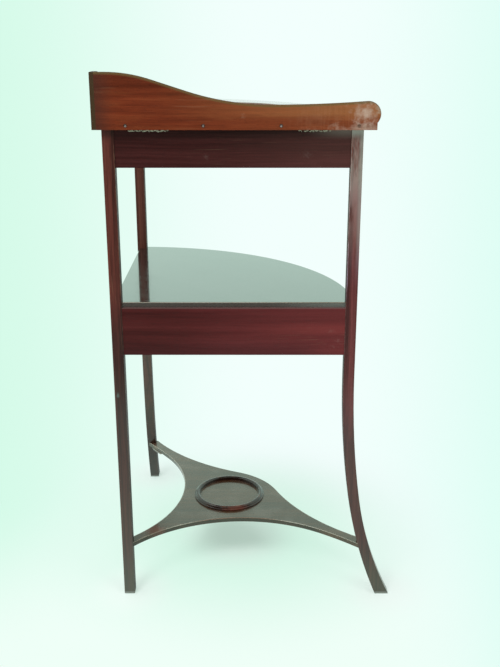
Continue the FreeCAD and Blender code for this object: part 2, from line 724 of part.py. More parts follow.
def quarter_board(name, radius, inside, low, thick):
    """A board with two straight wall edges and a bow edge about the corner axis."""
    disc = place(cylinder(f"{name}_disc", radius, thick), z=low)
    return common(f"{name}_board", disc, between_walls(f"{name}_walls", inside, low, thick))


def deck_hole(name, radius, x, y):
    return place(cylinder(name, radius, "deck_thick"), x, y, "deck_height")


deck_board = quarter_board("deck", DECK_RADIUS, WALL_EDGE, "deck_height", "deck_thick")
basin_hole = deck_hole("basin_hole", "basin_radius", "basin_inset", "basin_inset")
left_cup_hole = deck_hole("left_cup_hole", "cup_radius", "cup_along", "cup_inset")
right_cup_hole = mirrored("right_cup_hole", left_cup_hole)
deck_bored = cut("deck_bored", deck_board, basin_hole, left_cup_hole, right_cup_hole)
deck_bowed = rounded("deck_bowed", deck_bored, "deck_round", lambda edge: is_arc(edge, value(DECK_RADIUS)))


def is_hole_mouth(edge):
    """The upper edges of the basin hole and the cup holes."""
    holes = (value("basin_radius"), value("cup_radius"))
    return lies_at(edge, "z", value("deck_height + deck_thick")) and any(is_arc(edge, size) for size in holes)


deck_eased = rounded("deck_eased", deck_bowed, "hole_round", is_hole_mouth)
node(cut("deck", deck_eased, left_holes, right_holes), "deck")


# Shelf, notched round the three posts

def notch(name, x, y):
    """The room for a post in the shelf."""
    room = box(name, "leg_width", "leg_width", "shelf_thick")
    return place(room, f"{x} - {HALF}", f"{y} - {HALF}", SHELF_UNDER)


SHELF_EDGE = f"(shelf_setback - {HALF})"
shelf_board = quarter_board("shelf", SHELF_RADIUS, SHELF_EDGE, SHELF_UNDER, "shelf_thick")


def is_shelf_edge(edge):
    """The upper edges of the shelf: two along the walls and the bow."""
    edge_at = value(SHELF_EDGE)
    outer = is_arc(edge, value(SHELF_RADIUS)) or lies_at(edge, "x", edge_at) or lies_at(edge, "y", edge_at)
    return outer and lies_at(edge, "z", value("shelf_height"))


shelf_eased = rounded("shelf_eased", shelf_board, "shelf_round", is_shelf_edge)
node(cut("shelf", shelf_eased, notch("corner_notch", "0", "0"), notch("left_notch", "leg_spacing", "0"),
         notch("right_notch", "0", "leg_spacing")), "shelf")


# Glue blocks in the angle between a wall rail and the board above it

def glue_block(name, along, inside, under):
    """A rubbed block along the X wall: upright against the rail, flat under the board."""
    block = doc.addObject("Part::Wedge", name)
    bind(block, Xmin="0", X2min="0", Xmax="block_long", X2max="block_long", Ymin="0", Ymax="block_leg",
         Zmin="-block_leg", Zmax="0", Z2min="-block_edge", Z2max="0")
    return place(block, along, inside, under)


for board, inside, under in (("deck", UPPER_INSIDE, "deck_height"), ("shelf", LOWER_INSIDE, SHELF_UNDER)):
    blocks = [glue_block(f"{board}_{place_along}", place_along, inside, under)
              for place_along in ("block_inner", "block_outer")]
    others = [mirrored(f"{block.Name}_right", block) for block in blocks]
    node(group(f"{board}_glue_blocks", *blocks, *others), f"{board}_glue_blocks")


# Drawer bay: runners, guides and kickers run out from the wall rails to the bow rails

def strip(name, inner, outer, low, high, reach):
    """A strip beside the drawer, on its left, from the wall rail out to a radius."""
    bar = box(f"{name}_bar", DECK_RADIUS, f"{outer} - {inner}", high)
    place_out(bar, "0", f"-{outer}", low)
    end = place(cylinder(f"{name}_end", reach, high), z=low)
    return common(name, bar, end, between_walls(f"{name}_start", LOWER_INSIDE, low, high))


RUNNER_INSIDE = f"({DIVIDER_OUTSIDE} - runner_wide)"
STRIPS = {
    "drawer_runner": (RUNNER_INSIDE, LOWER_RAIL_LOW, "bottom_rail_high", BOTTOM_RAIL_INNER),
    "drawer_guide": ("bay_half", BAY_LOW, "guide_high", BOTTOM_RAIL_INNER),
    "drawer_kicker": (RUNNER_INSIDE, BAY_HIGH, "top_rail_high", f"({FACE_RADIUS} - top_rail_deep)"),
}
for name, (inner, low, high, reach) in STRIPS.items():
    left_strip = node(strip(f"{name}_left", inner, DIVIDER_OUTSIDE, low, high, reach), f"{name}_left")
    node(mirrored(f"{name}_right", left_strip), f"{name}_right")

BAY_OPENING = f"({BAY_HIGH} - {BAY_LOW})"
divider_bar = box("divider_bar", DECK_RADIUS, "divider_thick", BAY_OPENING)
place_out(divider_bar, "0", f"-{DIVIDER_OUTSIDE}", BAY_LOW)
divider_depth = bow_ring("divider", FACE_RADIUS, "bottom_rail_deep", BAY_LOW, BAY_OPENING)
left_divider = node(common("drawer_divider_left", divider_bar, divider_depth), "drawer_divider_left")
node(mirrored("drawer_divider_right", left_divider), "drawer_divider_right")

STOP_OUTER = "(stop_inner + stop_wide)"
STOP_BACK = f"(sqrt({DRAWER_INNER} ^ 2 - {STOP_OUTER} ^ 2) - stop_gap - stop_long)"
left_stop = box("left_stop", "stop_long", "stop_wide", "stop_high")
place_out(left_stop, STOP_BACK, f"-{STOP_OUTER}", BAY_LOW)
node(group("drawer_stops", left_stop, mirrored("right_stop", left_stop)), "drawer_stops")


# Knobs, held by a threaded spigot and a nut

KNOB_NECK_END = "(knob_base_thick + knob_neck_long)"
KNOB_WIDEST = f"({KNOB_NECK_END} + knob_shoulder_long)"


def knob(name, wood, turn):
    """A turned knob on the frieze, with its spigot through the wood; turn is its bearing from the X wall."""
    spigot_end = f"-({wood} + nut_thick + spigot_tail)"
    body = turned_body(
        name, "XY_Plane", "H_Axis",
        (spigot_end, "0"),
        ((f"{KNOB_WIDEST} + knob_head_radius", "0"),),
        ((KNOB_WIDEST, "knob_head_radius"), "knob_head_radius", "left"),
        ((KNOB_NECK_END, "knob_neck_radius"),
         bulged("knob_shoulder_long", "knob_head_radius - knob_neck_radius", "knob_shoulder_round"), "left"),
        (("knob_base_thick", "knob_base_radius"),
         bulged("knob_neck_long", "knob_base_radius - knob_neck_radius", "knob_neck_hollow"), "right"),
        (("0", "knob_base_radius"),),
        (("0", "spigot_radius"),),
        ((spigot_end, "spigot_radius"),))
    return place_out(body, FACE_RADIUS, "0", KNOB_HEIGHT, turn)


def spigot_hole(name, turn):
    """The hole for a spigot, from the corner axis outwards."""
    hole = cylinder(name, "spigot_radius + glue_gap", DECK_RADIUS)
    place(hole, z=KNOB_HEIGHT)
    radial = FreeCAD.Rotation(UP, value(turn)).multVec(FreeCAD.Vector(1, 0, 0))
    hole.Placement.Rotation = FreeCAD.Rotation(UP, radial)
    return hole


def knob_nut(name, wood, turn):
    """A square nut on the spigot, against the inner face of the wood."""
    blank = box(f"{name}_blank", "nut_thick", "nut_wide", "nut_wide")
    place_out(blank, f"sqrt(({FACE_RADIUS} - {wood}) ^ 2 - (nut_wide / 2) ^ 2) - nut_thick", "-nut_wide / 2",
              f"{KNOB_HEIGHT} - nut_wide / 2", turn)
    return cut(name, blank, spigot_hole(f"{name}_hole", turn))


FALSE_START = f"asin({HALF} / {FACE_RADIUS}) / 1deg"
FALSE_END = f"(45 - asin({DIVIDER_OUTSIDE} / {FACE_RADIUS}) / 1deg)"
FALSE_TURN = f"(({FALSE_START} + {FALSE_END}) / 2)"
left_false_knob = knob("left_false_knob", "frieze_thick", FALSE_TURN)
left_false_nut = knob_nut("left_false_nut", "frieze_thick", FALSE_TURN)
node(group("false_front_knobs", left_false_knob, mirrored("right_false_knob", left_false_knob)),
     "false_front_knobs")
node(group("false_front_knob_nuts", left_false_nut, mirrored("right_false_nut", left_false_nut)),
     "false_front_knob_nuts")
node(knob("drawer_knob", "drawer_front_thick", DIAGONAL), "drawer_knob")
node(knob_nut("drawer_knob_nut", "drawer_front_thick", DIAGONAL), "drawer_knob_nut")


# False drawer fronts between the legs and the drawer, each with a bead let into its edge

def false_field(name, inset, outer, deep):
    """The left false front's field, or what lies within its bead, at some depth."""
    low, high = f"{BAY_LOW} + {inset}", f"{BAY_OPENING} - 2 * {inset}"
    span = box(f"{name}_span", DECK_RADIUS, DECK_RADIUS, high)
    place_out(span, "0", f"-{DIVIDER_OUTSIDE} - {inset} - {DECK_RADIUS}", low)
    beside_leg = between_walls(f"{name}_beside_leg", f"({HALF} + {inset})", low, high)
    return common(name, bow_ring(name, outer, deep, low, high), span, beside_leg)


BEAD_FACE = f"({FACE_RADIUS} + bead_proud)"
left_bead = cut("left_false_bead", false_field("false_bead_outer", "0", BEAD_FACE, "bead_deep"),
                false_field("false_bead_inner", "bead_wide", BEAD_FACE, "bead_deep"))
node(left_bead, "false_front_bead_left")
node(mirrored("right_false_bead", left_bead), "false_front_bead_right")
left_false = cut("left_false_front", false_field("false_panel", "0", FACE_RADIUS, "frieze_thick"), left_bead,
                 spigot_hole("false_spigot_hole", FALSE_TURN))
node(left_false, "false_front_left")
node(mirrored("right_false_front", left_false), "false_front_right")


# Drawer: sides lapped into the front, a bottom in grooves, a back on the bottom

def drawer_field(name, inset, outer, deep):
    """The drawer front's field, or what lies within its bead, at some depth."""
    low, high = f"{BAY_LOW} + drawer_gap + {inset}", f"{BAY_OPENING} - 2 * (drawer_gap + {inset})"
    span = box(f"{name}_span", DECK_RADIUS, f"2 * ({DRAWER_HALF} - {inset})", high)
    place_out(span, "0", f"{inset} - {DRAWER_HALF}", low)
    return common(name, bow_ring(name, outer, deep, low, high), span)


bottom_half = f"({DRAWER_HALF} - side_thick + groove_deep)"
bottom_panel = box("bottom_panel", DECK_RADIUS, f"2 * {bottom_half}", "bottom_thick")
place_out(bottom_panel, DRAWER_BACK, f"-{bottom_half}", BOTTOM_LOW)
bottom_reach = place(cylinder("bottom_reach", f"{DRAWER_INNER} + groove_deep", "bottom_thick"), z=BOTTOM_LOW)
drawer_bottom = node(common("drawer_bottom", bottom_panel, bottom_reach), "drawer_bottom")

SIDE_HIGH = f"({BAY_HIGH} - side_drop - {DRAWER_LOW})"
side_board = box("side_board", DECK_RADIUS, "side_thick", SIDE_HIGH)
place_out(side_board, DRAWER_BACK, f"-{DRAWER_HALF}", DRAWER_LOW)
side_reach = place(cylinder("side_reach", f"{FACE_RADIUS} - drawer_lap", SIDE_HIGH), z=DRAWER_LOW)
side_blank = common("side_blank", side_board, side_reach)
left_side = node(cut("drawer_side_left", side_blank, drawer_bottom), "drawer_side_left")
node(mirrored("drawer_side_right", left_side), "drawer_side_right")

back_half = f"({DRAWER_HALF} - side_thick)"
BACK_LOW = f"({BOTTOM_LOW} + bottom_thick)"
drawer_back = box("drawer_back", "back_thick", f"2 * {back_half}", f"{BAY_HIGH} - back_drop - {BACK_LOW}")
node(place_out(drawer_back, DRAWER_BACK, f"-{back_half}", BACK_LOW), "drawer_back")

drawer_bead = cut("drawer_bead", drawer_field("bead_outer", "0", BEAD_FACE, "bead_deep"),
                  drawer_field("bead_inner", "bead_wide", BEAD_FACE, "bead_deep"))
node(drawer_bead, "drawer_cock_bead")
front_blank = drawer_field("front_blank", "0", FACE_RADIUS, "drawer_front_thick")
right_side_blank = mirrored("right_side_blank", side_blank)
node(cut("drawer_front", front_blank, drawer_bead, drawer_bottom, side_blank, right_side_blank,
         spigot_hole("drawer_spigot_hole", DIAGONAL)), "drawer_front")


# Checking and writing

doc.recompute()
failed = [item.Name for item in doc.Objects if {"Invalid", "Error"} & set(item.State)]
broken = [item.Label for item in nodes if item.Shape.isNull() or not item.Shape.isValid()]
if failed or broken:
    raise RuntimeError(f"failed objects {failed}, broken shapes {broken}")

os.makedirs("parts", exist_ok=True)
for item in nodes:
    item.Shape.exportStep(f"parts/{item.Label}.step")
print(len(nodes), "pieces,", sum(len(item.Shape.Solids) for item in nodes), "solids")
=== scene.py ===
import math

import bmesh
import bpy
from bpy.props import FloatProperty, FloatVectorProperty, IntProperty, PointerProperty
from mathutils import Matrix, Vector


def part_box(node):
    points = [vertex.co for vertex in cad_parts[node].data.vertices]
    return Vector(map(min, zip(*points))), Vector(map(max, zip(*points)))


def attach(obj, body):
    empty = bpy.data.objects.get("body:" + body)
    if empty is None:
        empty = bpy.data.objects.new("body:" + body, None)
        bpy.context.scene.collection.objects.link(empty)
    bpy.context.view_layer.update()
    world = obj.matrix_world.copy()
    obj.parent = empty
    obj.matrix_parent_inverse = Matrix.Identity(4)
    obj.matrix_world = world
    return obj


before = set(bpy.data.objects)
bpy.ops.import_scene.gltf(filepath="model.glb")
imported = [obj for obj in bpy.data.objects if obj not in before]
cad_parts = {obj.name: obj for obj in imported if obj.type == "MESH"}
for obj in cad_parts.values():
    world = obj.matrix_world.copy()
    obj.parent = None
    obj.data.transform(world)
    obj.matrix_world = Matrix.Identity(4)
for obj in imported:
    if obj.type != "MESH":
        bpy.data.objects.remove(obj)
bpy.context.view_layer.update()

bl_info = {
    "name": "Corner Washstand",
    "version": (1, 0, 0),
    "blender": (4, 5, 0),
    "location": "3D View > Sidebar > Washstand",
    "description": "Finishes the wood and metal of a corner washstand and sets it on a pale studio floor",
    "category": "Object",
}

HALF_ROOT = math.sqrt(0.5)
# Sockets of a Mix node that mixes colours
SHARE_SOCKET, FIRST_SOCKET, SECOND_SOCKET = 0, 6, 7
COLOUR_OUTPUT = 2

POST_FACE = -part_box("corner_post")[0][1]
POST_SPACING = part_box("front_leg_left")[0][0] + POST_FACE
FOOT_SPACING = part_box("front_leg_left")[1][0] - POST_FACE
DECK_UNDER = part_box("deck")[0][2]
SPLASH_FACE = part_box("splash_board_left")[0][1]
SPLASH_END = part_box("splash_board_left")[1][0]
UPPER_RAIL_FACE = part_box("upper_rail_left")[0][1]
LOWER_RAIL_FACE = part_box("lower_rail_left")[0][1]
STRETCHER_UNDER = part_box("stretcher")[0][2]
STRETCHER_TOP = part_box("stretcher")[1][2]
FRIEZE_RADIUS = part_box("front_top_rail")[1][0]

# Edges of the stretcher as circles (x, y and radius): the hollows and sweeps, the straighter ends of the two
# wall hollows beyond HOLLOW_TURN, and the bulge in front
STRETCHER_HOLLOWS = ((0.21224, -0.18066, 0.26957), (-0.17132, 0.21231, 0.2621),
                     (0.65523, 0.35153, 0.40199), (0.35153, 0.65523, 0.40199))
STRETCHER_ENDS = ((0.02903, -0.45939, 0.60312), (-0.57128, -0.06023, 0.74609))
HOLLOW_TURN = 0.36
STRETCHER_BULGE = (0.1495, 0.1495, 0.14261)
# How far in from the edge of the stretcher the rim of rubbed wood and painted highlight ends, and where it is
# full
RIM_END, RIM_FULL = 0.0024, 0.0009
# Where along x the edge of the stretcher and its ring are reddest
REDDEST = 0.205

ARM_BLOCK_PLACE = (0.0155, 0.4055, STRETCHER_UNDER - 0.0012)
ARM_BLOCK_SIZE = (0.042, 0.006, 0.0044)
ARM_BLOCK_TURN = math.radians(-53.1)
POST_MARK = (-0.0039, -POST_FACE, 0.406)
# Centre and radius of the rounded nose of a splash board
NOSE = (SPLASH_END - 0.02, 0.0, 0.8885)
NOSE_RADIUS = 0.0194
# The screws of a splash board whose heads are rubbed bright, with a painted glint in the middle of each head
SCREW_FIRST, SCREW_PITCH, SCREW_HEIGHT = 0.0308, 0.1232, DECK_UNDER + 0.0062
RUBBED_AND_GLINTING_SCREWS = 3
GLUE_CORNER = (UPPER_RAIL_FACE - 0.0006, DECK_UNDER - 0.0024)
# The drawn dovetails: how far inside the bow's face they begin, half their spacing, half the width of a pin
# where it begins, and how fast it narrows from there
DOVETAIL_DEPTH = 0.016
PIN_STEP, PIN_HALF, PIN_SLOPE = 0.01, 0.0034, 0.25
# From the ends of the drawer's back to the outer brads, along x
BRAD_MARGIN = 0.014
THREAD_RADIUS = 0.002
THREAD_LENGTH = 0.0042
# How far inside the nut's inner face the thread starts
THREAD_LEAD = 0.0047
FLOOR_CENTRE = (0.2, 0.2, 0.0)
FLOOR_RADIUS = 1.0
FLOOR_DROP = 0.0003
SENSOR_WIDTH = 36.0

# Tints of the posts: blend, the heights between which it sets in and perhaps fades, share, colour
POST_TINTS = {
    "corner_post": (
        # painted reflection: the lower corner post a little greener and paler, standing for the pale green
        # floor mirrored in it
        ("MIX", (0.3, 0.12), 0.05, (0.28, 0.4, 0.26)),
        ("MULTIPLY", (0.5, 0.6), 0.6, (0.9, 0.87, 0.85)),
        ("MULTIPLY", (0.44, 0.47, 0.6, 0.55), 1.0, (0.92, 0.75, 0.8)),
    ),
    "front_leg_left": (
        ("MULTIPLY", (0.7, 0.6, 0.25, 0.4), 1.0, (1.0, 0.94, 1.4)),
        ("MULTIPLY", (0.6, 0.66, 0.8, 0.74), 1.0, (1.0, 0.84, 0.9)),
        # painted reflection: the foot greener, standing for the pale green floor mirrored in it
        ("MULTIPLY", (0.15, 0.04), 1.0, (0.93, 1.14, 1.0)),
    ),
    "front_leg_right": (
        ("MULTIPLY", (0.25, 0.08), 1.0, (0.45, 0.45, 0.38)),
        # painted reflection: a greener, paler band low on the leg, standing for the pale green floor mirrored
        # in it
        ("MIX", (0.45, 0.38, 0.12, 0.2), 0.05, (0.36, 0.44, 0.28)),
        ("MULTIPLY", (0.5, 0.6), 1.0, (0.76, 1.0, 0.95)),
    ),
}
# Clouded polish by the nose of a splash board, placed for the left one: centre, half size, share, colour
NOSE_CLOUDS = (
    ((SPLASH_END - 0.026, SPLASH_FACE, 0.894), (0.034, 0.02, 0.024), 1.15, (0.5, 0.37, 0.3)),
    ((SPLASH_END - 0.004, SPLASH_FACE, 0.903), (0.02, 0.02, 0.02), 0.9, (0.3, 0.27, 0.2)),
    ((SPLASH_END - 0.03, SPLASH_FACE, 0.866), (0.065, 0.02, 0.012), 0.8, (0.47, 0.36, 0.29)),
    ((SPLASH_END - 0.1, SPLASH_FACE, 0.885), (0.05, 0.02, 0.03), 0.15, (0.42, 0.22, 0.13)),
)


def colour_property(name, description, default):
    """A colour that the user can change."""
    return FloatVectorProperty(name=name, description=description, default=default, size=3, min=0.0, max=1.0,
                               subtype="COLOR")


def share_property(name, description, default):
    """A share from none to all that the user can change."""
    return FloatProperty(name=name, description=description, default=default, min=0.0, max=1.0,
                         subtype="FACTOR")


def amount_property(name, description, default, unit="NONE"):
    """An amount of nought or more that the user can change."""
    return FloatProperty(name=name, description=description, default=default, min=0.0, unit=unit)


def count_property(name, description, default, fewest, most):
    """A number of things that the user can change."""
    return IntProperty(name=name, description=description, default=default, min=fewest, max=most)


class WashstandWood(bpy.types.PropertyGroup):
    """Colours of the woods."""

    splash: colour_property("Splash boards", "Mahogany of the two splash boards", (0.145, 0.0238, 0.0075))
    upper_rail: colour_property("Upper rails", "Mahogany of the rails by the deck", (0.043, 0.0085, 0.0078))
    lower_rail: colour_property("Lower rails", "Mahogany of the rails by the drawer", (0.09, 0.0125, 0.013))
    post: colour_property("Posts and legs", "Mahogany of the three uprights", (0.105, 0.0215, 0.014))
    deck: colour_property("Deck", "Mahogany of the deck", (0.085, 0.022, 0.012))
    shelf: colour_property("Shelf", "Darker mahogany of the shelf", (0.02, 0.0155, 0.014))
    stretcher: colour_property("Stretcher", "Mahogany of the stretcher", (0.07, 0.031, 0.014))
    ring: colour_property("Stretcher ring", "Darker mahogany of the turned ring", (0.024, 0.0095, 0.007))
    front: colour_property("Drawer fronts", "Figured mahogany of all three fronts", (0.19, 0.038, 0.011))
    bead: colour_property("Beads", "Dark wood of the beads round the fronts", (0.035, 0.0095, 0.0065))
    bare: colour_property("Bare mahogany", "Mahogany where the polish is gone", (0.36, 0.22, 0.13))
    lining: colour_property("Linings", "Bare oak inside the drawer and under the deck", (0.36, 0.212, 0.105))


class WashstandWear(bpy.types.PropertyGroup):
    """How worn the stand is."""

    # This share also sets how strong the painted highlight along the edges of the stretcher is
    arris: share_property("Rubbed arrises", "How far the arrises are rubbed down to lighter wood", 0.4)
    bloom: share_property("Clouded polish", "How far damp has clouded the polish at the left end", 0.62)
    scratches: share_property("Scratches", "How strongly fine scratches show", 0.35)
    glue: colour_property("Old glue", "Dried glue in the corner under the splash boards", (0.47, 0.45, 0.34))
    flake: amount_property("Glue flake", "Size of a flake of dried glue", 0.0015, "LENGTH")
    flakes: count_property("Glue flakes", "Number of flakes in one run of dried glue", 56, 1, 400)


class WashstandMetal(bpy.types.PropertyGroup):
    """Colours and sizes of the metalwork."""

    brass: colour_property("Brass", "Brass of the knobs and nuts", (0.68, 0.46, 0.17))
    tarnish: colour_property("Tarnish", "Dark film on the brass", (0.16, 0.095, 0.035))
    iron: colour_property("Iron", "Rubbed iron of the screws and brads", (0.5, 0.44, 0.42))
    rust: colour_property("Rust", "Rust on the iron", (0.07, 0.034, 0.024))
    thread_pitch: amount_property("Thread pitch", "Pitch of the thread on the spigots", 0.0009, "LENGTH")
    brad: amount_property("Brad head", "Radius of a brad's head", 0.0015, "LENGTH")
    brads: count_property("Brads", "Number of brads that hold the drawer bottom to the back", 5, 2, 20)


class WashstandStage(bpy.types.PropertyGroup):
    """Floor, light and camera."""

    floor: colour_property("Floor", "Pale floor nearest the camera", (0.86, 1.0, 0.93))
    room_left: colour_property("Room to the left", "Background and paper to the left", (0.665, 0.96, 0.81))
    room_middle: colour_property("Middle of the room", "Background behind the stand", (0.89, 1.0, 0.98))
    room_right: colour_property("Room to the right", "Background to the right", (0.67, 0.98, 0.87))
    room_above: colour_property("Upper room", "What polished wood mirrors from above", (0.75, 1.0, 0.88))
    fill_below: colour_property("Light from the floor", "Light that the floor throws up", (0.7, 0.9, 0.8))
    fill_low: amount_property("Low fill", "Light from all round, near the horizon", 0.55)
    fill_high: amount_property("High fill", "Light from all round, from above", 0.42)
    overhead: amount_property("Overhead lamp", "Power of the soft lamp above the stand", 30.0, "POWER")
    left: amount_property("Left lamp", "Power of the soft lamp in front and to the left", 44.0, "POWER")
    right: amount_property("Right lamp", "Power of the soft lamp in front and to the right", 16.0, "POWER")
    lens: amount_property("Lens", "Focal length in millimetres on a 36 mm sensor", 49.23)
    camera: FloatVectorProperty(name="Camera", description="Where the camera stands", size=3,
                                default=(0.2293, -1.4912, 1.0201), subtype="TRANSLATION")
    tilt: FloatVectorProperty(name="Camera tilt", description="How the camera is turned", size=3,
                              default=(math.radians(71.363), 0.0, math.radians(0.057)), subtype="EULER")


class Washstand(bpy.types.PropertyGroup):
    """All settings of the washstand."""

    wood: PointerProperty(type=WashstandWood)
    wear: PointerProperty(type=WashstandWear)
    metal: PointerProperty(type=WashstandMetal)
    stage: PointerProperty(type=WashstandStage)


class Wire:
    """A value in a node tree; each step of an expression on it adds a Math node."""

    def __init__(self, nodes, socket):
        self.nodes = nodes
        self.socket = socket

    def __add__(self, other):
        return self.nodes.maths("ADD", self, other)

    def __sub__(self, other):
        return self.nodes.maths("SUBTRACT", self, other)

    def __rsub__(self, other):
        return self.nodes.maths("SUBTRACT", other, self)

    def __mul__(self, other):
        return self.nodes.maths("MULTIPLY", self, other)

    def __abs__(self):
        return self.nodes.maths("ABSOLUTE", self)

    __radd__ = __add__
    __rmul__ = __mul__


class Nodes:
    """A node tree that is being built."""

    def __init__(self, tree):
        self.tree = tree
        tree.nodes.clear()

    def add(self, kind, sockets=(), output=0, **settings):
        """Add a node: its settings first, then the values or links of its sockets."""
        node = self.tree.nodes.new(kind)
        for name, value in settings.items():
            setattr(node, name, value)
        pairs = sockets.items() if isinstance(sockets, dict) else enumerate(sockets)
        for key, value in pairs:
            if isinstance(value, Wire):
                self.tree.links.new(value.socket, node.inputs[key])
            else:
                node.inputs[key].default_value = value
        return Wire(self, node.outputs[output]) if node.outputs else None

    def maths(self, operation, *values):
        return self.add("ShaderNodeMath", values, operation=operation)

    def split(self, vector):
        """The x, y and z of a vector."""
        node = self.add("ShaderNodeSeparateXYZ", (vector,)).socket.node
        return [Wire(self, socket) for socket in node.outputs]

    def vector(self, x, y, z):
        return self.add("ShaderNodeCombineXYZ", (x, y, z))

    def vectors(self, operation, first, second=(0.0, 0.0, 0.0), output=0):
        return self.add("ShaderNodeVectorMath", (first, second), output, operation=operation)

    def distance(self, first, second):
        return self.vectors("DISTANCE", first, second, "Value")

    def smooth(self, low, high, value):
        """0 below low and 1 above high, or the other way round where low is the greater."""
        return self.add("ShaderNodeMapRange", {"Value": value, "From Min": low, "From Max": high},
                        interpolation_type="SMOOTHSTEP")

    def mix(self, share, first, second, blend="MIX"):
        """One colour laid over another."""
        first, second = (colour if isinstance(colour, Wire) else (*colour, 1.0) for colour in (first, second))
        return self.add("ShaderNodeMix", {SHARE_SOCKET: share, FIRST_SOCKET: first, SECOND_SOCKET: second},
                        COLOUR_OUTPUT, data_type="RGBA", blend_type=blend)

    def ramp(self, value, stops):
        """A colour that changes with a value, through stops of position and colour."""
        colour = self.add("ShaderNodeValToRGB", (value,))
        elements = colour.socket.node.color_ramp.elements
        for _ in stops[2:]:
            elements.new(1.0)
        for element, (position, shade) in zip(elements, stops):
            element.position = position
            element.color = (*shade, 1.0)
        return colour

    def noise(self, vector, detail=2.0, roughness=0.5, scale=1.0):
        return self.add("ShaderNodeTexNoise", {
            "Vector": vector, "Scale": scale, "Detail": detail, "Roughness": roughness})


class Finish(Nodes):
    """A material that is being built on Object coordinates."""

    def __init__(self, name):
        self.material = bpy.data.materials.new(name)
        self.material.use_nodes = True
        super().__init__(self.material.node_tree)
        self.place = self.add("ShaderNodeTexCoord", output="Object")
        self.x, self.y, self.z = self.split(self.place)
        self.normal = self.split(self.add("ShaderNodeNewGeometry", output="Normal"))

    def radius(self):
        """Distance from the upright axis of the corner post."""
        return self.maths("SQRT", self.x * self.x + self.y * self.y)

    def within(self, mask, **spans):
        """A mask limited to spans of lengths: each sets in between two values, and fades between two more."""
        for name, span in spans.items():
            for low, high in zip(span[::2], span[1::2]):
                mask = self.smooth(low, high, getattr(self, name)) * mask
        return mask

    def patches(self, low, high, scale, detail=3.0, roughness=0.6):
        """Soft-edged patches of 1, with 0 between them."""
        return self.smooth(low, high, self.noise(self.place, detail, roughness, scale))

    def spot(self, centre, reach, ragged=0.6, fine=150.0, core=0.25):
        """A ragged patch: 1 within its core and 0 outside; reach is its half size along x, y and z."""
        away = self.vectors("DIVIDE", self.vectors("SUBTRACT", self.place, centre), reach)
        far = self.vectors("LENGTH", away, output="Value")
        return self.smooth(1.0, core, far + (self.noise(self.place, 3.0, 0.6, fine) - 0.5) * (2.0 * ragged))

    def arris(self, pairs):
        """1 on the rounded arrises between faces that look along two of the axes, and 0 on flat faces."""
        normal = dict(zip("xyz", self.normal))
        return self.smooth(0.12, 0.4, sum(abs(normal[first] * normal[second]) for first, second in pairs))

    def rounded(self, steep=(0.2, 0.5), level=(0.05, 0.25)):
        """1 on the rounded edges between upright and level faces."""
        flat = abs(self.normal[2])
        return self.smooth(*steep, flat) * self.smooth(*level, 1 - flat)

    def sides(self):
        """1 on upright faces."""
        return self.smooth(0.3, 0.1, abs(self.normal[2]))

    def close(self, colour, roughness, height, depth=0.0002, metallic=0.0, coat=0.0, coat_roughness=0.1,
              coat_ior=1.5, specular=0.5, tint=(1.0, 1.0, 1.0)):
        """Join the shader and return the material."""
        bump = self.add("ShaderNodeBump", {"Strength": 0.6, "Distance": depth, "Height": height})
        shader = self.add("ShaderNodeBsdfPrincipled", {
            "Base Color": colour, "Roughness": roughness, "Metallic": metallic, "Coat Weight": coat,
            "Coat Roughness": coat_roughness, "Coat IOR": coat_ior, "Specular IOR Level": specular,
            "Specular Tint": (*tint, 1.0), "Normal": bump})
        self.add("ShaderNodeOutputMaterial", (shader,))
        return self.material


class Wood(Finish):
    """A wood that is being built; each kind sets its own colour, roughness and height."""

    def __init__(self, name, run):
        super().__init__(name)
        self.along, self.across, self.deep = self.grain(run)

    def grain(self, run):
        """Lengths along the grain, across it and into the wood, for wood that runs this way."""
        x, y, z = self.x, self.y, self.z
        if run == "x":
            return x, z, y
        if run == "y":
            return y, z, x
        if run == "upright":
            return z, x, y
        if run == "out":
            return (x + y) * HALF_ROOT, z, (y - x) * HALF_ROOT
        if run == "across the front":
            return (y - x) * HALF_ROOT, (x + y) * HALF_ROOT, z
        return self.maths("ARCTAN2", y, x) * FRIEZE_RADIUS, z, self.radius()

    def fibres(self, lengthwise, crosswise, shift=(0.0, 0.0, 0.0), detail=2.0, roughness=0.5):
        """Noise drawn out along the grain: its scales along and across the wood, and how far it is moved."""
        return self.noise(self.vector(self.along * lengthwise + shift[0], self.across * crosswise + shift[1],
                                      self.deep * crosswise + shift[2]), detail, roughness)

    def sway(self, lengthwise, crosswise, seed, across, deep):
        """Let the grain wander this far across and into the wood."""
        drift = self.fibres(lengthwise, crosswise, (seed, 0.0, 0.0)) - 0.5
        self.across = self.across + drift * across
        self.deep = self.deep + drift * deep

    def lay(self, mask, colour, dulling=0.0, blend="MIX", **spans):
        """Lay a colour over the wood where the mask is 1 within these spans, and dull the polish there."""
        mask = self.within(mask, **spans)
        self.colour = self.mix(mask, self.colour, colour, blend)
        if dulling:
            self.rough = self.rough + mask * dulling

    def shade(self, mask, colour, **spans):
        """Multiply the wood by a colour where the mask is 1 within these spans."""
        self.lay(mask, colour, blend="MULTIPLY", **spans)

    def speckle(self, centre, reach, mask, colour):
        """Lay a patch of specks."""
        self.lay(self.spot(centre, reach, 1.6, 260.0, -0.6) * mask, colour, 0.1)

    def scratch(self, seed, mask, colour, dulling=0.1, **spans):
        """Lay fine scratches along the grain, in a few patches."""
        line = self.smooth(0.64, 0.7, self.fibres(9.0, 700.0, (seed, 0.0, 0.0), 1.0))
        patch = self.smooth(0.5, 0.62, self.fibres(12.0, 30.0, (0.0, seed, 0.0)))
        self.lay(line * patch * mask, colour, dulling, **spans)

    def put_on(self, *names, roughness, **shader):
        """Close the material and put it on CAD nodes."""
        give(self.close(self.colour, self.rough + roughness, self.height, **shader), *names)


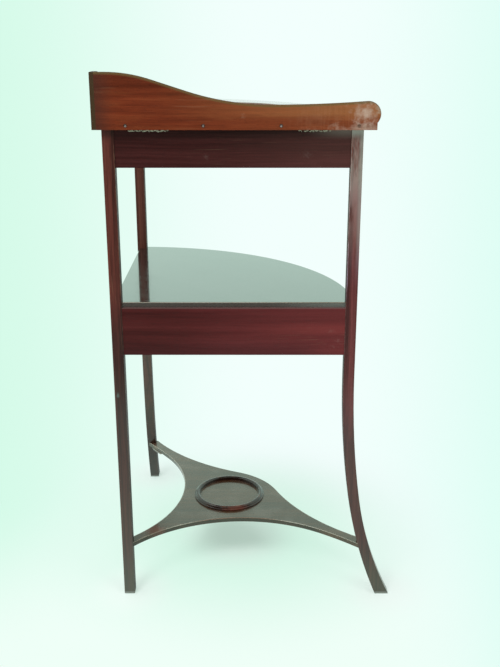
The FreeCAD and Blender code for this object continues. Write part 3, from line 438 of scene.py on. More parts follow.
class Mahogany(Wood):
    """Mahogany with slow bands, long streaks, fine fibres and open pores."""

    def __init__(self, name, colour, run, seed, contrast, band_width, streak_width):
        super().__init__(name, run)
        colour = Vector(colour)
        light = [min(1.0, part * share) for part, share in zip(colour, (1.55, 1.75, 1.8))]
        self.sway(3.0, 8.0, seed, 0.014, 0.01)
        band = self.fibres(1.1, 1 / band_width, (seed, 0.0, 0.0))
        streak = self.fibres(3.6, 1 / streak_width, (-seed, 0.0, 0.0), 4.0, 0.62)
        fibre = self.fibres(30.0, 1300.0, (seed, 0.0, 0.0))
        pore = self.smooth(0.6, 0.72, self.fibres(120.0, 2400.0, detail=1.0))
        tone = ((band - 0.5) * 1.1 + (streak - 0.5) + (fibre - 0.5) * 0.5) * contrast + 0.5
        wood = self.ramp(tone, ((0.2, colour * 0.42), (0.5, colour), (0.8, light)))
        self.colour = self.mix(pore * 0.45, wood, colour * 0.3)
        self.height = fibre * 0.25 - pore * 0.6
        self.rough = (streak - 0.5) * 0.16 + pore * 0.12


class Oak(Wood):
    """Bare oak with dark lines of pores, flecks and grime."""

    def __init__(self, name, colour, run, seed):
        super().__init__(name, run)
        colour = Vector(colour)
        self.sway(4.0, 10.0, seed, 0.02, 0.02)
        year = self.fibres(2.0, 110.0, (seed, 0.0, 0.0), 3.0, 0.6)
        pore = self.smooth(0.56, 0.68, self.fibres(55.0, 1300.0, (0.0, 0.0, seed)))
        fleck = self.smooth(0.63, 0.7, self.fibres(90.0, 240.0, (0.0, seed, 0.0), 1.0))
        grime = self.patches(0.45, 0.75, 14.0, 4.0, 0.65)
        wood = self.ramp(year, ((0.3, colour * 0.55), (0.52, colour), (0.75, colour * 1.3)))
        wood = self.mix(fleck * 0.3, wood, colour * 1.5)
        wood = self.mix(pore * 0.55, wood, colour * 0.3)
        self.colour = self.mix(grime * 0.5, wood, (0.45, 0.4, 0.36), "MULTIPLY")
        self.height = year * 0.3 - pore
        self.rough = grime * 0.15 + pore * 0.1


def turned(place, run):
    """A place, direction or size that is given for the board along x, for the board that runs this way."""
    x, y, z = place
    return (x, y, z) if run == "x" else (y, x, z)


def give(material, *names):
    """Put a finish on CAD nodes."""
    for name in names:
        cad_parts[name].data.materials.clear()
        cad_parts[name].data.materials.append(material)


def add_object(name, data):
    """A new object in the scene."""
    piece = bpy.data.objects.new(name, data)
    bpy.context.collection.objects.link(piece)
    return piece


def plain_mesh(name, tree, inputs, material, body):
    """Run a Geometry Nodes tree and keep its result as a plain mesh that rides on a body."""
    piece = add_object(name, bpy.data.meshes.new(name))
    modifier = piece.modifiers.new(name, "NODES")
    modifier.node_group = tree
    inputs = {**inputs, "Material": material}
    for socket in tree.interface.items_tree:
        if socket.in_out == "INPUT":
            modifier[socket.identifier] = inputs[socket.name]
    evaluated = piece.evaluated_get(bpy.context.evaluated_depsgraph_get())
    mesh = bpy.data.meshes.new_from_object(evaluated)
    if not mesh.polygons:
        raise RuntimeError(f"{name} came out empty")
    piece.modifiers.remove(modifier)
    piece.data = mesh
    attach(piece, body)


def new_tree(name, **kinds):
    """The nodes of a Geometry Nodes tree with named inputs of these kinds, and its inputs as wires."""
    nodes = Nodes(bpy.data.node_groups.new(name, "GeometryNodeTree"))
    interface = nodes.tree.interface
    for kind, labels in {**kinds, "Material": ("Material",)}.items():
        for label in labels:
            interface.new_socket(label, in_out="INPUT", socket_type=f"NodeSocket{kind}")
    interface.new_socket("Geometry", in_out="OUTPUT", socket_type="NodeSocketGeometry")
    given = nodes.tree.nodes.new("NodeGroupInput")
    return nodes, {socket.name: Wire(nodes, socket) for socket in given.outputs if socket.name}


def row_of_points(nodes, given, count):
    """Points in a row from the Start to the End of a tree."""
    return nodes.add("GeometryNodeMeshLine", mode="END_POINTS", sockets={
        "Count": given[count], "Start Location": given["Start"], "Offset": given["End"]})


def end_tree(nodes, geometry, given):
    """Close a Geometry Nodes tree: real meshes with their material."""
    real = nodes.add("GeometryNodeRealizeInstances", (geometry,))
    finished = nodes.add("GeometryNodeSetMaterial", {"Geometry": real, "Material": given["Material"]})
    nodes.add("NodeGroupOutput", (finished,))


class WASHSTAND_OT_posts(bpy.types.Operator):
    """Finish the corner post and the two front legs"""

    bl_idname = "washstand.posts"
    bl_label = "Posts and legs"

    def execute(self, context):
        wood, wear = context.scene.washstand.wood, context.scene.washstand.wear
        rubbed = {"corner_post": ("xy", "yz", "zx"), "front_leg_left": ("xy", "yz"),
                  "front_leg_right": ("xy", "zx")}
        for seed, (name, pairs) in enumerate(rubbed.items()):
            post = Mahogany(f"{name}_mahogany", wood.post, "upright", 3.7 + 5.3 * seed, 1.1, 0.012, 0.0035)
            post.lay(post.arris(pairs) * post.patches(0.35, 0.65, 60.0) * wear.arris, wood.bare, 0.15)
            post.scratch(seed, wear.scratches * 0.5, wood.bare)
            if name == "corner_post":
                mark = post.spot(POST_MARK, (0.0035, 0.004, 0.006), fine=200.0)
                post.lay(mark * 0.35, (0.3, 0.36, 0.32), 0.2)
            knee, inward = 0.5, 1
            if name == "front_leg_left":
                self.cloud(post, wear.bloom)
                knee, inward = 0.3, -1
            post.shade(0.9, (0.5, 0.7, 0.7), z=(knee + 0.1, knee))
            # Painted reflection: a greenish sheen on the foot of each upright, standing for the pale green
            # floor mirrored in it
            post.lay(0.3, (0.075, 0.13, 0.095), 0.1, z=(0.14, 0.0))
            for blend, heights, share, colour in POST_TINTS[name]:
                post.lay(share, colour, blend=blend, z=heights)
            post.lay(0.55, (0.3, 0.34, 0.3), 0.1, z=(0.0065, 0.002))
            # Painted shade: the inner side face of each upright is darkened, and its coat is left off
            inner = post.smooth(0.6, 0.85, post.normal[0] * inward)
            post.shade(inner, (0.45, 0.4, 0.4))
            polish = post.within(1.0, z=(0.5, 0.36))
            post.rough = post.rough - polish * 0.18 * (1 - inner)
            post.put_on(name, roughness=0.5, coat=(polish * 0.45 + 0.15) * (1 - inner), coat_roughness=0.2,
                        specular=0.35)
        return {"FINISHED"}

    def cloud(self, leg, bloom):
        """Cloud the polish on the upper part of the left leg, most of all at its edges, and paint light on
        the top of its face just under the deck.
        """
        drawn_out = leg.vector(leg.x * 60.0, leg.y * 60.0, leg.z * 14.0)
        dull = leg.smooth(0.3, 0.6, leg.noise(drawn_out, 4.0, 0.6)) * (bloom * 1.15)
        leg.lay(dull, (0.36, 0.295, 0.26), 0.2, z=(0.58, 0.86))
        face = leg.smooth(0.7, 0.9, leg.normal[1] * -1)
        edge = POST_SPACING - POST_FACE
        leg.lay(leg.patches(0.35, 0.55, 45.0) * face * 0.6, (0.42, 0.38, 0.36), 0.1,
                x=(edge + 0.0017, edge + 0.0009), z=(0.57, 0.62, 0.86, 0.82))
        leg.lay(face * 0.5, (0.29, 0.32, 0.28), 0.1, z=(0.6, 0.72),
                x=(POST_SPACING + 0.002, POST_SPACING + 0.008))
        # Painted light: a pale patch on the top of the leg's face, just under the deck, lifting the shade
        # that the deck and splash boards cast there
        leg.lay(face * 0.85, (0.48, 0.46, 0.41), 0.2, z=(DECK_UNDER - 0.016, DECK_UNDER - 0.002))


class WASHSTAND_OT_splash(bpy.types.Operator):
    """Finish the two splash boards"""

    bl_idname = "washstand.splash"
    bl_label = "Splash boards"

    def execute(self, context):
        wood, wear = context.scene.washstand.wood, context.scene.washstand.wear
        for name, run, seed in (("splash_board_left", "x", 2.4), ("splash_board_right", "y", 9.1)):
            board = Mahogany(f"{name}_mahogany", wood.splash, run, seed, 0.65, 0.03, 0.0075)
            end, front, up = turned(board.normal, run)
            mottle = board.fibres(14.0, 110.0, (0.0, 0.0, seed), 3.0, 0.6)
            board.shade(board.smooth(0.52, 0.4, mottle) * 0.3, (0.72, 0.72, 0.78))
            board.lay(board.smooth(0.52, 0.64, mottle) * 0.2, (0.2, 0.05, 0.016))
            board.shade(0.7, (0.5, 0.5, 0.55), z=(0.9, 0.95), along=(0.3, 0.0))
            # Warmer, lighter mahogany towards the nose end of the board, most of all near its top edge
            warmer_towards_nose = board.smooth(0.876, 0.892, board.z + (mottle - 0.5) * 0.012) * 0.525 + 0.15
            board.lay(warmer_towards_nose, (0.348, 0.135, 0.048), along=(0.05, 0.45))
            ripple = board.fibres(420.0, 24.0, (0.0, seed, 0.0))
            board.lay(board.smooth(0.5, 0.62, ripple) * 0.07, (0.36, 0.17, 0.09), along=(0.24, 0.38))
            board.shade(board.smooth(0.5, 0.38, ripple) * 0.09, (0.6, 0.55, 0.5), along=(0.24, 0.38))
            # Painted shade: faces that look up, along the rounded top edge, are darkened
            board.shade(board.smooth(0.1, 0.5, abs(up)) * 0.8, (0.3, 0.34, 0.3))
            # Painted shade: darker mahogany within two centimetres of the corner where the two boards meet
            board.lay(0.75, (0.058, 0.021, 0.0145), along=(0.02, SPLASH_FACE))
            board.lay(board.smooth(0.6, 0.9, abs(end)) * 0.85, (0.047, 0.03, 0.0135), 0.2)
            face = board.smooth(0.7, 0.9, abs(front))
            below = self.edge_height(board, name) - board.z
            board.lay(board.smooth(0.0042, 0.0006, below) * face * 0.75, (0.12, 0.085, 0.032), 0.1)
            for centre, reach, share, colour in NOSE_CLOUDS:
                cloud = board.spot(turned(centre, run), turned(reach, run), 1.3, 75.0, -0.3)
                board.lay(cloud * face * (wear.bloom * share), colour, 0.3)
            flat_place = board.vectors("MULTIPLY", board.place, turned((1.0, 0.0, 1.0), run))
            from_nose = board.distance(flat_place, turned(NOSE, run))
            rim = board.smooth(NOSE_RADIUS - 0.001, NOSE_RADIUS, from_nose)
            board.lay(rim * face * 0.7, (0.13, 0.115, 0.085), 0.2, z=(0.87, 0.895),
                      along=(SPLASH_END - 0.04, SPLASH_END - 0.015))
            board.scratch(seed, wear.scratches * 0.25, wood.bare)
            if run == "x":
                specks = (0.2174, SPLASH_FACE, 0.8861)
                board.speckle(specks, (0.005, 0.01, 0.006), face * 0.15, (0.5, 0.36, 0.27))
            board.put_on(name, roughness=0.42, specular=0.12)
        return {"FINISHED"}

    def edge_height(self, board, name):
        """Height of the upper edge of a board's face at each length along the board, from the CAD mesh."""
        along = 0 if name == "splash_board_left" else 1
        nose = NOSE[0]
        low, rise = 0.9, 0.06
        edge = {}
        for corner in (vertex.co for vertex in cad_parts[name].data.vertices):
            on_face = abs(corner[1 - along] - SPLASH_FACE) < 1e-5
            if on_face and corner[2] > low and corner[along] < nose:
                edge[round(corner[along], 4)] = corner[2]
        stops = [(max(0.0, far / nose), ((edge[far] - low) / rise,) * 3) for far in sorted(edge)]
        return board.ramp(board.along * (1 / nose), stops) * rise + low


class WASHSTAND_OT_rails(bpy.types.Operator):
    """Finish the upper and lower wall rails"""

    bl_idname = "washstand.rails"
    bl_label = "Wall rails"

    def execute(self, context):
        wood, wear = context.scene.washstand.wood, context.scene.washstand.wear
        for side, run, seed in (("left", "x", 5.2), ("right", "y", 13.8)):
            edges = ("yz",) if run == "x" else ("zx",)
            name = f"upper_rail_{side}"
            upper = Mahogany(f"{name}_mahogany", wood.upper_rail, run, seed, 0.8, 0.02, 0.004)
            for x, z, reach in ((0.157, 0.8195, (0.006, 0.01, 0.008)), (0.3196, 0.823, (0.011, 0.01, 0.009))):
                centre = turned((x, UPPER_RAIL_FACE, z), run)
                upper.speckle(centre, turned(reach, run), 0.09, (0.3, 0.25, 0.22))
            upper.lay(0.12, (0.24, 0.12, 0.1), along=(0.1, 0.42))
            # Painted light: a pale patch at the far end of the rail from the corner, just under the deck,
            # lifting the shade that the deck and splash boards cast there
            upper.lay(0.7, (0.27, 0.21, 0.18), 0.1, along=(0.31, 0.38), z=(DECK_UNDER - 0.018, DECK_UNDER))
            upper.lay(upper.arris(edges) * (wear.arris * 0.3), wood.bare, 0.1)
            upper.scratch(seed, wear.scratches * 0.3, wood.bare)
            upper.put_on(name, roughness=0.4, coat=0.1, coat_roughness=0.25, specular=0.2)

            name = f"lower_rail_{side}"
            lower = Mahogany(f"{name}_mahogany", wood.lower_rail, run, seed + 4.0, 0.55, 0.03, 0.007)
            # Painted shade: the rail is darker towards the corner post
            lower.shade(0.8, (0.72, 0.72, 0.66), along=(0.2, 0.05))
            lower.lay(0.35, (0.2, 0.034, 0.036), along=(0.08, 0.4))
            lower.lay(0.22, (0.3, 0.045, 0.04), along=(0.2, 0.37), z=(0.514, 0.524, 0.543, 0.53))
            # Painted shade: the lower part of the rail is darkened, all but its far end, against the light
            # that the floor throws up
            lower.shade(1.0, (0.72, 0.78, 0.85), along=(0.38, 0.3), z=(0.515, 0.49))
            # Painted highlight: a pale line along the top edge of the rail, just under the shelf
            lower.lay(0.45, (0.16, 0.115, 0.11), 0.1, z=(0.5635, 0.5655))
            lower.lay(lower.arris(edges) * (wear.arris * 0.4), wood.bare, 0.1)
            lower.scratch(seed, wear.scratches * 0.35, wood.bare, along=(0.2, 0.38))
            for x, z in ((0.368, 0.524), (0.378, 0.508), (0.372, 0.496)):
                centre = turned((x, LOWER_RAIL_FACE, z), run)
                lower.speckle(centre, turned((0.009, 0.01, 0.005), run), 0.12, (0.32, 0.2, 0.18))
            lower.put_on(name, roughness=0.36, coat=0.15, coat_roughness=0.2, specular=0.2)
        return {"FINISHED"}


class WASHSTAND_OT_tops(bpy.types.Operator):
    """Finish the deck and the shelf"""

    bl_idname = "washstand.tops"
    bl_label = "Deck and shelf"

    def execute(self, context):
        wood, wear = context.scene.washstand.wood, context.scene.washstand.wear
        for name, colour, seed, coat_ior, specular in (("deck", wood.deck, 1.9, 1.5, 0.4),
                                                       ("shelf", wood.shelf, 7.7, 1.87, 1.0)):
            top = Mahogany(f"{name}_mahogany", colour, "across the front", seed, 1.0, 0.035, 0.006)
            top.lay(top.rounded((0.25, 0.5), (0.03, 0.2)) * wear.arris, wood.bare, 0.05)
            top.scratch(seed, wear.scratches * 0.15, wood.bare, 0.05)
            top.lay(top.smooth(-0.5, -0.9, top.normal[2]) * 0.6, (0.16, 0.075, 0.04), 0.35)
            if name == "shelf":
                side = top.sides()
                top.lay(side * 0.8, (0.082, 0.064, 0.056), 0.3)
                # Painted reflection: a pale line on the shelf's edges towards the bow, standing for the pale
                # room mirrored in the arris
                far = top.smooth(0.24, 0.38, top.maths("MAXIMUM", top.x, top.y))
                top.lay(side * far * 0.55, (0.18, 0.19, 0.17), 0.2)
            top.rough = top.rough * 0.5 + top.patches(0.45, 0.75, 16.0, 4.0) * 0.08
            top.put_on(name, roughness=0.1, depth=0.00006, coat=1.0, coat_roughness=0.04, coat_ior=coat_ior,
                       specular=specular, tint=(0.83, 1.0, 0.93))
        return {"FINISHED"}


class WASHSTAND_OT_stretcher(bpy.types.Operator):
    """Finish the stretcher and its ring, and add the strip under the arm to the right leg"""

    bl_idname = "washstand.stretcher"
    bl_label = "Stretcher and ring"

    def execute(self, context):
        wood, wear = context.scene.washstand.wood, context.scene.washstand.wear
        arms = Mahogany("stretcher_mahogany", wood.stretcher, "x", 4.6, 0.9, 0.03, 0.006)
        # Painted shade: the upright side faces of the stretcher are darkened, less so near the right leg
        arms.shade(arms.sides() * 0.8, (0.42, 0.42, 0.42), x=(0.41, 0.34))
        arms.lay(0.35, (0.3, 0.3, 0.25), z=(STRETCHER_UNDER - 0.0002, STRETCHER_UNDER - 0.0008))
        # Edge colour: rubbed red wood near the middle of the front, and a pale painted highlight along the
        # edges further out; it goes on the rounded edges and on the rim of the top
        red = arms.smooth(0.11, 0.05, abs(arms.x - REDDEST))
        rubbed = arms.mix(red, (0.5, 0.51, 0.42), (0.24, 0.12, 0.075))
        arms.lay(arms.rounded() * (0.4 + 0.5 * wear.arris), rubbed, 0.1)
        level = arms.smooth(0.8, 0.95, abs(arms.normal[2]))
        rim = self.rim(arms) * arms.patches(0.36, 0.6, 45.0) * level
        arms.lay(rim * (0.3 + 0.4 * wear.arris), rubbed, 0.1, y=(0.4, 0.15))
        stain = arms.spot((0.042, 0.046, STRETCHER_TOP), (0.03, 0.025, 0.02), 0.8, 90.0)
        arms.lay(stain * 0.65, (0.14, 0.035, 0.022), 0.1)
        # Painted shade: the arms are darkened towards the corner post, and their coat is thinner there
        by_post = arms.smooth(0.17, 0.05, arms.x + arms.y)
        arms.shade(by_post * 0.8, (0.7, 0.6, 0.55))
        chipped = arms.spot((0.006, 0.395, STRETCHER_TOP), (0.013, 0.022, 0.02), 0.5, 120.0)
        arms.lay(chipped * 0.75, wood.bare, 0.3)
        arms.lay(arms.patches(0.45, 0.7, 22.0, 4.0) * level * 0.12, (0.36, 0.36, 0.31), 0.12)
        arms.put_on("stretcher", roughness=0.24, depth=0.0001, coat=0.8 - by_post * 0.4, coat_roughness=0.08,
                    tint=(0.8, 1.0, 0.8))

        ring = Mahogany("stretcher_ring_mahogany", wood.ring, "x", 8.2, 0.9, 0.03, 0.006)
        red = ring.spot((REDDEST, 0.117, STRETCHER_TOP), (0.04, 0.02, 0.02), fine=90.0)
        ring.lay(red * 0.5, (0.2, 0.055, 0.035))
        top = ring.smooth(0.75, 0.95, ring.normal[2])
        ring.lay(top * ring.patches(0.45, 0.65, 70.0) * (wear.arris * 0.5), wood.bare, 0.1)
        ring.put_on("stretcher_ring", roughness=0.2, depth=0.0001, coat=1.0, coat_roughness=0.03,
                    coat_ior=1.45, specular=0.25)
        self.add_arm_block(arms.material)
        return {"FINISHED"}

    def rim(self, arms):
        """1 along the upper edges of the stretcher, 0 a little way in."""
        flat_place = arms.vector(arms.x, arms.y, 0.0)

        def near(circle, side=1):
            x, y, radius = circle
            outside = arms.distance(flat_place, (x, y, 0.0)) - radius
            return arms.smooth(RIM_END, RIM_FULL, outside * side)

        mask = sum(near(circle) for circle in STRETCHER_HOLLOWS)
        beyond = (HOLLOW_TURN - 0.001, HOLLOW_TURN + 0.001)
        mask = mask + arms.within(near(STRETCHER_ENDS[0]), x=beyond)
        mask = mask + arms.within(near(STRETCHER_ENDS[1]), y=beyond)
        return mask + arms.within(near(STRETCHER_BULGE, side=-1), x=(0.2, 0.215), y=(0.2, 0.215))

    def add_arm_block(self, material):
        """A short rubbed strip under the arm that runs to the right leg."""
        block = bmesh.new()
        bmesh.ops.create_cube(block, size=1.0)
        bmesh.ops.bevel(block, geom=block.edges[:], offset=0.16, segments=2, profile=0.6, affect="EDGES")
        low = [vertex for vertex in block.verts if vertex.co.z < 0.0]
        bmesh.ops.scale(block, verts=low, vec=(0.8, 0.8, 1.0))
        mesh = bpy.data.meshes.new("arm_block")
        block.to_mesh(mesh)
        block.free()
        turn = Matrix.Rotation(ARM_BLOCK_TURN, 3, "Z")
        mesh.transform(Matrix.LocRotScale(ARM_BLOCK_PLACE, turn, ARM_BLOCK_SIZE))
        mesh.materials.append(material)
        piece = add_object("arm_block", mesh)
        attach(piece, "stand")


class WASHSTAND_OT_fronts(bpy.types.Operator):
    """Finish the bowed front: rails, dividers, drawer front, false fronts and beads"""

    bl_idname = "washstand.fronts"
    bl_label = "Bowed front"

    def execute(self, context):
        wood, wear = context.scene.washstand.wood, context.scene.washstand.wear
        for seed, name in enumerate(("upper_rail_front", "front_top_rail", "front_bottom_rail")):
            rail = Mahogany(f"{name}_mahogany", wood.post, "bow", 2.0 + 3.1 * seed, 1.0, 0.02, 0.004)
            rail.lay(rail.rounded() * wear.arris, wood.bare, 0.1)
            rail.put_on(name, roughness=0.28, coat=0.85, coat_roughness=0.1)
        upright = Mahogany("drawer_divider_mahogany", wood.post, "upright", 6.6, 1.0, 0.012, 0.0035)
        upright.put_on("drawer_divider_left", "drawer_divider_right", roughness=0.3, coat=0.8,
                       coat_roughness=0.12)
        for number, name in enumerate(("drawer_front", "false_front_left", "false_front_right")):
            seed = 11.0 + 2.7 * number
            front = Mahogany(f"{name}_figured_mahogany", wood.front, "bow", seed, 1.25, 0.018, 0.005)
            drawn_out = front.vector(front.along * 85.0, front.across * 9.0 + number, front.deep)
            curl = front.smooth(0.42, 0.62, front.noise(drawn_out, 3.0, 0.55))
            front.shade(curl * 0.55, (0.55, 0.42, 0.4))
            back = front.smooth(0.03, 0.006, abs(front.deep - FRIEZE_RADIUS + 0.014))
            front.shade(back * 0.2, (0.6, 0.6, 0.6))
            front.put_on(name, roughness=0.26, depth=0.0001, coat=0.6, coat_roughness=0.07, specular=0.35)
        bead = Mahogany("bead_dark_mahogany", wood.bead, "bow", 3.3, 0.8, 0.01, 0.003)
        bead.put_on("drawer_cock_bead", "false_front_bead_left", "false_front_bead_right", roughness=0.26,
                    coat=0.9, coat_roughness=0.1)
        return {"FINISHED"}


class WASHSTAND_OT_linings(bpy.types.Operator):
    """Finish the oak linings: drawer box, runners, guides, kickers, stops, glue blocks and dowels"""

    bl_idname = "washstand.linings"
    bl_label = "Linings"

    def execute(self, context):
        wood = context.scene.washstand.wood
        runs = {
            "out": ("drawer_runner_left", "drawer_runner_right", "drawer_guide_left", "drawer_guide_right",
                    "drawer_kicker_left", "drawer_kicker_right"),
            "across the front": ("drawer_back", "drawer_bottom", "drawer_stops"),
            "upright": ("deck_glue_blocks", "shelf_glue_blocks"),
            "x": ("stretcher_dowels",),
        }
        for seed, (run, names) in enumerate(runs.items()):
            finish = Oak(f"oak_running_{run.replace(' ', '_')}", wood.lining, run, 1.7 * seed)
            finish.put_on(*names, roughness=0.62, specular=0.3)
        sides = Oak("drawer_side_oak", wood.lining, "out", 7.9)
        radius = sides.radius()
        inner = FRIEZE_RADIUS - DOVETAIL_DEPTH
        step = sides.maths("PINGPONG", sides.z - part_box("drawer_side_left")[0][2], PIN_STEP)
        pin = sides.smooth(0.0002, -0.0002, step - PIN_HALF + (radius - inner) * PIN_SLOPE)
        joint = sides.smooth(inner - 0.0002, inner + 0.0002, radius)
        face = sides.smooth(0.9, 0.98, abs(sides.normal[1] - sides.normal[0]) * HALF_ROOT)
        sides.lay(pin * joint * face * 0.9, Vector(wood.post) * 0.8)
        sides.put_on("drawer_side_left", "drawer_side_right", roughness=0.62, specular=0.3)
        return {"FINISHED"}


class WASHSTAND_OT_metal(bpy.types.Operator):
    """Finish the brass knobs and nuts and the iron screws"""

    bl_idname = "washstand.metal"
    bl_label = "Knobs, nuts and screws"

    def execute(self, context):
        metal = context.scene.washstand.metal
        brass = self.aged_metal("aged_brass", metal.brass, metal.tarnish, 1.0)
        give(brass, "drawer_knob", "false_front_knobs", "drawer_knob_nut", "false_front_knob_nuts")
        lengths = [SCREW_FIRST + SCREW_PITCH * number for number in range(RUBBED_AND_GLINTING_SCREWS)]
        heads = [turned((length, SPLASH_FACE, SCREW_HEIGHT), run) for run in "xy" for length in lengths]
        give(self.aged_metal("worn_iron", metal.iron, metal.rust, 0.35, heads), "splash_screws")
        return {"FINISHED"}

    def aged_metal(self, name, bright, film, shine, heads=()):
        """Metal with a dark film, rubbed through in places; the screw heads given are bright in the middle,
        rubbed iron with a painted glint.
        """
        finish = Finish(name)
        cloud = finish.patches(0.45, 0.64, 160.0, 5.0, 0.65)
        if heads:
            # Painted glint and rubbed iron: the middle of each screw head given is bright
            rubbed = sum(finish.smooth(0.0019, 0.0011, finish.distance(finish.place, head)) for head in heads)
            cloud = finish.maths("MAXIMUM", cloud, 1 - rubbed)
        fine = finish.noise(finish.place, 3.0, 0.6, 1500.0)
        colour = finish.mix(cloud, bright, film)
        if heads:
            far = finish.maths("MAXIMUM", finish.x, finish.y)
            colour = finish.mix(finish.smooth(0.38, 0.39, far), colour, (0.2, 0.105, 0.07))
        return finish.close(colour, 0.24 + cloud * 0.3 + (fine - 0.5) * 0.15, fine, depth=0.00005,
                            metallic=(1 - cloud * 0.5) * shine)


class WASHSTAND_OT_glue(bpy.types.Operator):
    """Add the runs of dried glue in the corner between the rail and the deck"""

    bl_idname = "washstand.glue"
    bl_label = "Dried glue"

    def execute(self, context):
        wear = context.scene.washstand.wear
        crust = Finish("dried_glue")
        patchy = crust.noise(crust.place, 4.0, 0.65, 700.0)
        glue = Vector(wear.glue)
        colour = crust.ramp(patchy, ((0.3, glue * 0.35), (0.5, glue), (0.7, glue * 1.5)))
        material = crust.close(colour, 0.55 + patchy * 0.2, patchy)

        nodes, given = new_tree("glue_run", Vector=("Start", "End", "Spread"), Int=("Flakes", "Seed"),
                                Float=("Flake Size",))

        def random(least, most, step):
            return nodes.add("FunctionNodeRandomValue", data_type="FLOAT_VECTOR", sockets={
                0: least, 1: most, "Seed": given["Seed"] + step})

        below = nodes.vectors("MULTIPLY", given["Spread"], (-1.0, -1.0, -1.0))
        points = nodes.add("GeometryNodeSetPosition", {
            "Geometry": row_of_points(nodes, given, "Flakes"), "Offset": random(below, given["Spread"], 0)})
        flake = nodes.add("GeometryNodeMeshIcoSphere", {
            "Radius": given["Flake Size"], "Subdivisions": 2})
        flakes = nodes.add("GeometryNodeInstanceOnPoints", {
            "Points": points, "Instance": flake, "Rotation": random((-0.5, -0.5, -0.5), (0.5, 0.5, 0.5), 1),
            "Scale": random((0.3, 0.3, 0.2), (1.8, 0.8, 0.8), 2)})
        end_tree(nodes, flakes, given)

        runs = (("x", 0.033, 0.096, 1.0), ("x", 0.304, 0.358, 0.8), ("y", 0.21, 0.262, 0.7))
        for number, (run, start, end, share) in enumerate(runs):
            plain_mesh(f"glue_run_{number + 1}", nodes.tree, {
                "Start": turned((start, *GLUE_CORNER), run), "End": turned((end, *GLUE_CORNER), run),
                "Spread": turned((0.003, 0.0004, 0.0013), run), "Flakes": int(wear.flakes * share),
                "Flake Size": wear.flake, "Seed": 11 + number}, material, "stand")
        return {"FINISHED"}


class WASHSTAND_OT_threads(bpy.types.Operator):
    """Add the thread on the end of each knob's spigot"""

    bl_idname = "washstand.threads"
    bl_label = "Spigot threads"

    def execute(self, context):
        metal = context.scene.washstand.metal
        nodes, given = new_tree("spigot_thread", Vector=("Foot",),
                                Float=("Bearing", "Radius", "Pitch", "Length", "Depth"))
        turns = nodes.maths("DIVIDE", given["Length"], given["Pitch"])
        spiral = nodes.add("GeometryNodeCurveSpiral", {
            "Resolution": 20, "Rotations": turns, "Start Radius": given["Radius"],
            "End Radius": given["Radius"], "Height": given["Length"]})
        profile = nodes.add("GeometryNodeCurvePrimitiveCircle", {
            "Resolution": 4, "Radius": given["Depth"]})
        ridge = nodes.add("GeometryNodeCurveToMesh", {
            "Curve": spiral, "Profile Curve": profile, "Fill Caps": True})
        placed = nodes.add("GeometryNodeTransform", {
            "Geometry": ridge, "Translation": given["Foot"],
            "Rotation": nodes.vector(0.0, math.pi / 2, given["Bearing"])})
        end_tree(nodes, placed, given)
        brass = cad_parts["drawer_knob"].data.materials[0]
        height = sum(corner[2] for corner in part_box("drawer_knob")) / 2
        for name, node, body in (("drawer_knob", "drawer_knob_nut", "drawer"),
                                 ("left_false_knob", "false_front_knob_nuts", "stand"),
                                 ("right_false_knob", "false_front_knob_nuts", "stand")):
            corners = [vertex.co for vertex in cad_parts[node].data.vertices
                       if name == "drawer_knob" or (vertex.co.x > vertex.co.y) == (name == "left_false_knob")]
            middle = sum(corners, Vector()) / len(corners)
            bearing = math.atan2(middle.y, middle.x)
            out = Vector((math.cos(bearing), math.sin(bearing), 0.0))
            foot = out * (min(corner.dot(out) for corner in corners) - THREAD_LEAD)
            foot.z = height
            plain_mesh(f"{name}_thread", nodes.tree, {
                "Foot": tuple(foot), "Bearing": bearing, "Radius": THREAD_RADIUS, "Pitch": metal.thread_pitch,
                "Length": THREAD_LENGTH, "Depth": metal.thread_pitch * 0.4}, brass, body)
        return {"FINISHED"}


class WASHSTAND_OT_brads(bpy.types.Operator):
    """Add the row of brads that holds the drawer bottom to the back"""

    bl_idname = "washstand.brads"
    bl_label = "Brads"

    def execute(self, context):
        metal = context.scene.washstand.metal
        nodes, given = new_tree("brad_row", Vector=("Start", "End"), Int=("Brads",), Float=("Head Radius",))
        head = nodes.add("GeometryNodeMeshUVSphere", {
            "Segments": 12, "Rings": 6, "Radius": given["Head Radius"]})
        flat = nodes.add("GeometryNodeTransform", {"Geometry": head, "Scale": (1.0, 1.0, 0.35)})
        heads = nodes.add("GeometryNodeInstanceOnPoints", {
            "Points": row_of_points(nodes, given, "Brads"), "Instance": flat})
        end_tree(nodes, heads, given)
        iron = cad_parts["splash_screws"].data.materials[0]
        low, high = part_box("drawer_back")
        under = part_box("drawer_bottom")[0][2]
        middle = Vector(((low[0] + high[0]) / 2, (low[1] + high[1]) / 2, under))
        reach = Vector((-1.0, 1.0, 0.0)) * ((high[0] - low[0]) / 2 - BRAD_MARGIN)
        plain_mesh("drawer_bottom_brads", nodes.tree, {
            "Start": tuple(middle - reach), "End": tuple(middle + reach), "Brads": metal.brads,
            "Head Radius": metal.brad}, iron, "drawer")
        return {"FINISHED"}


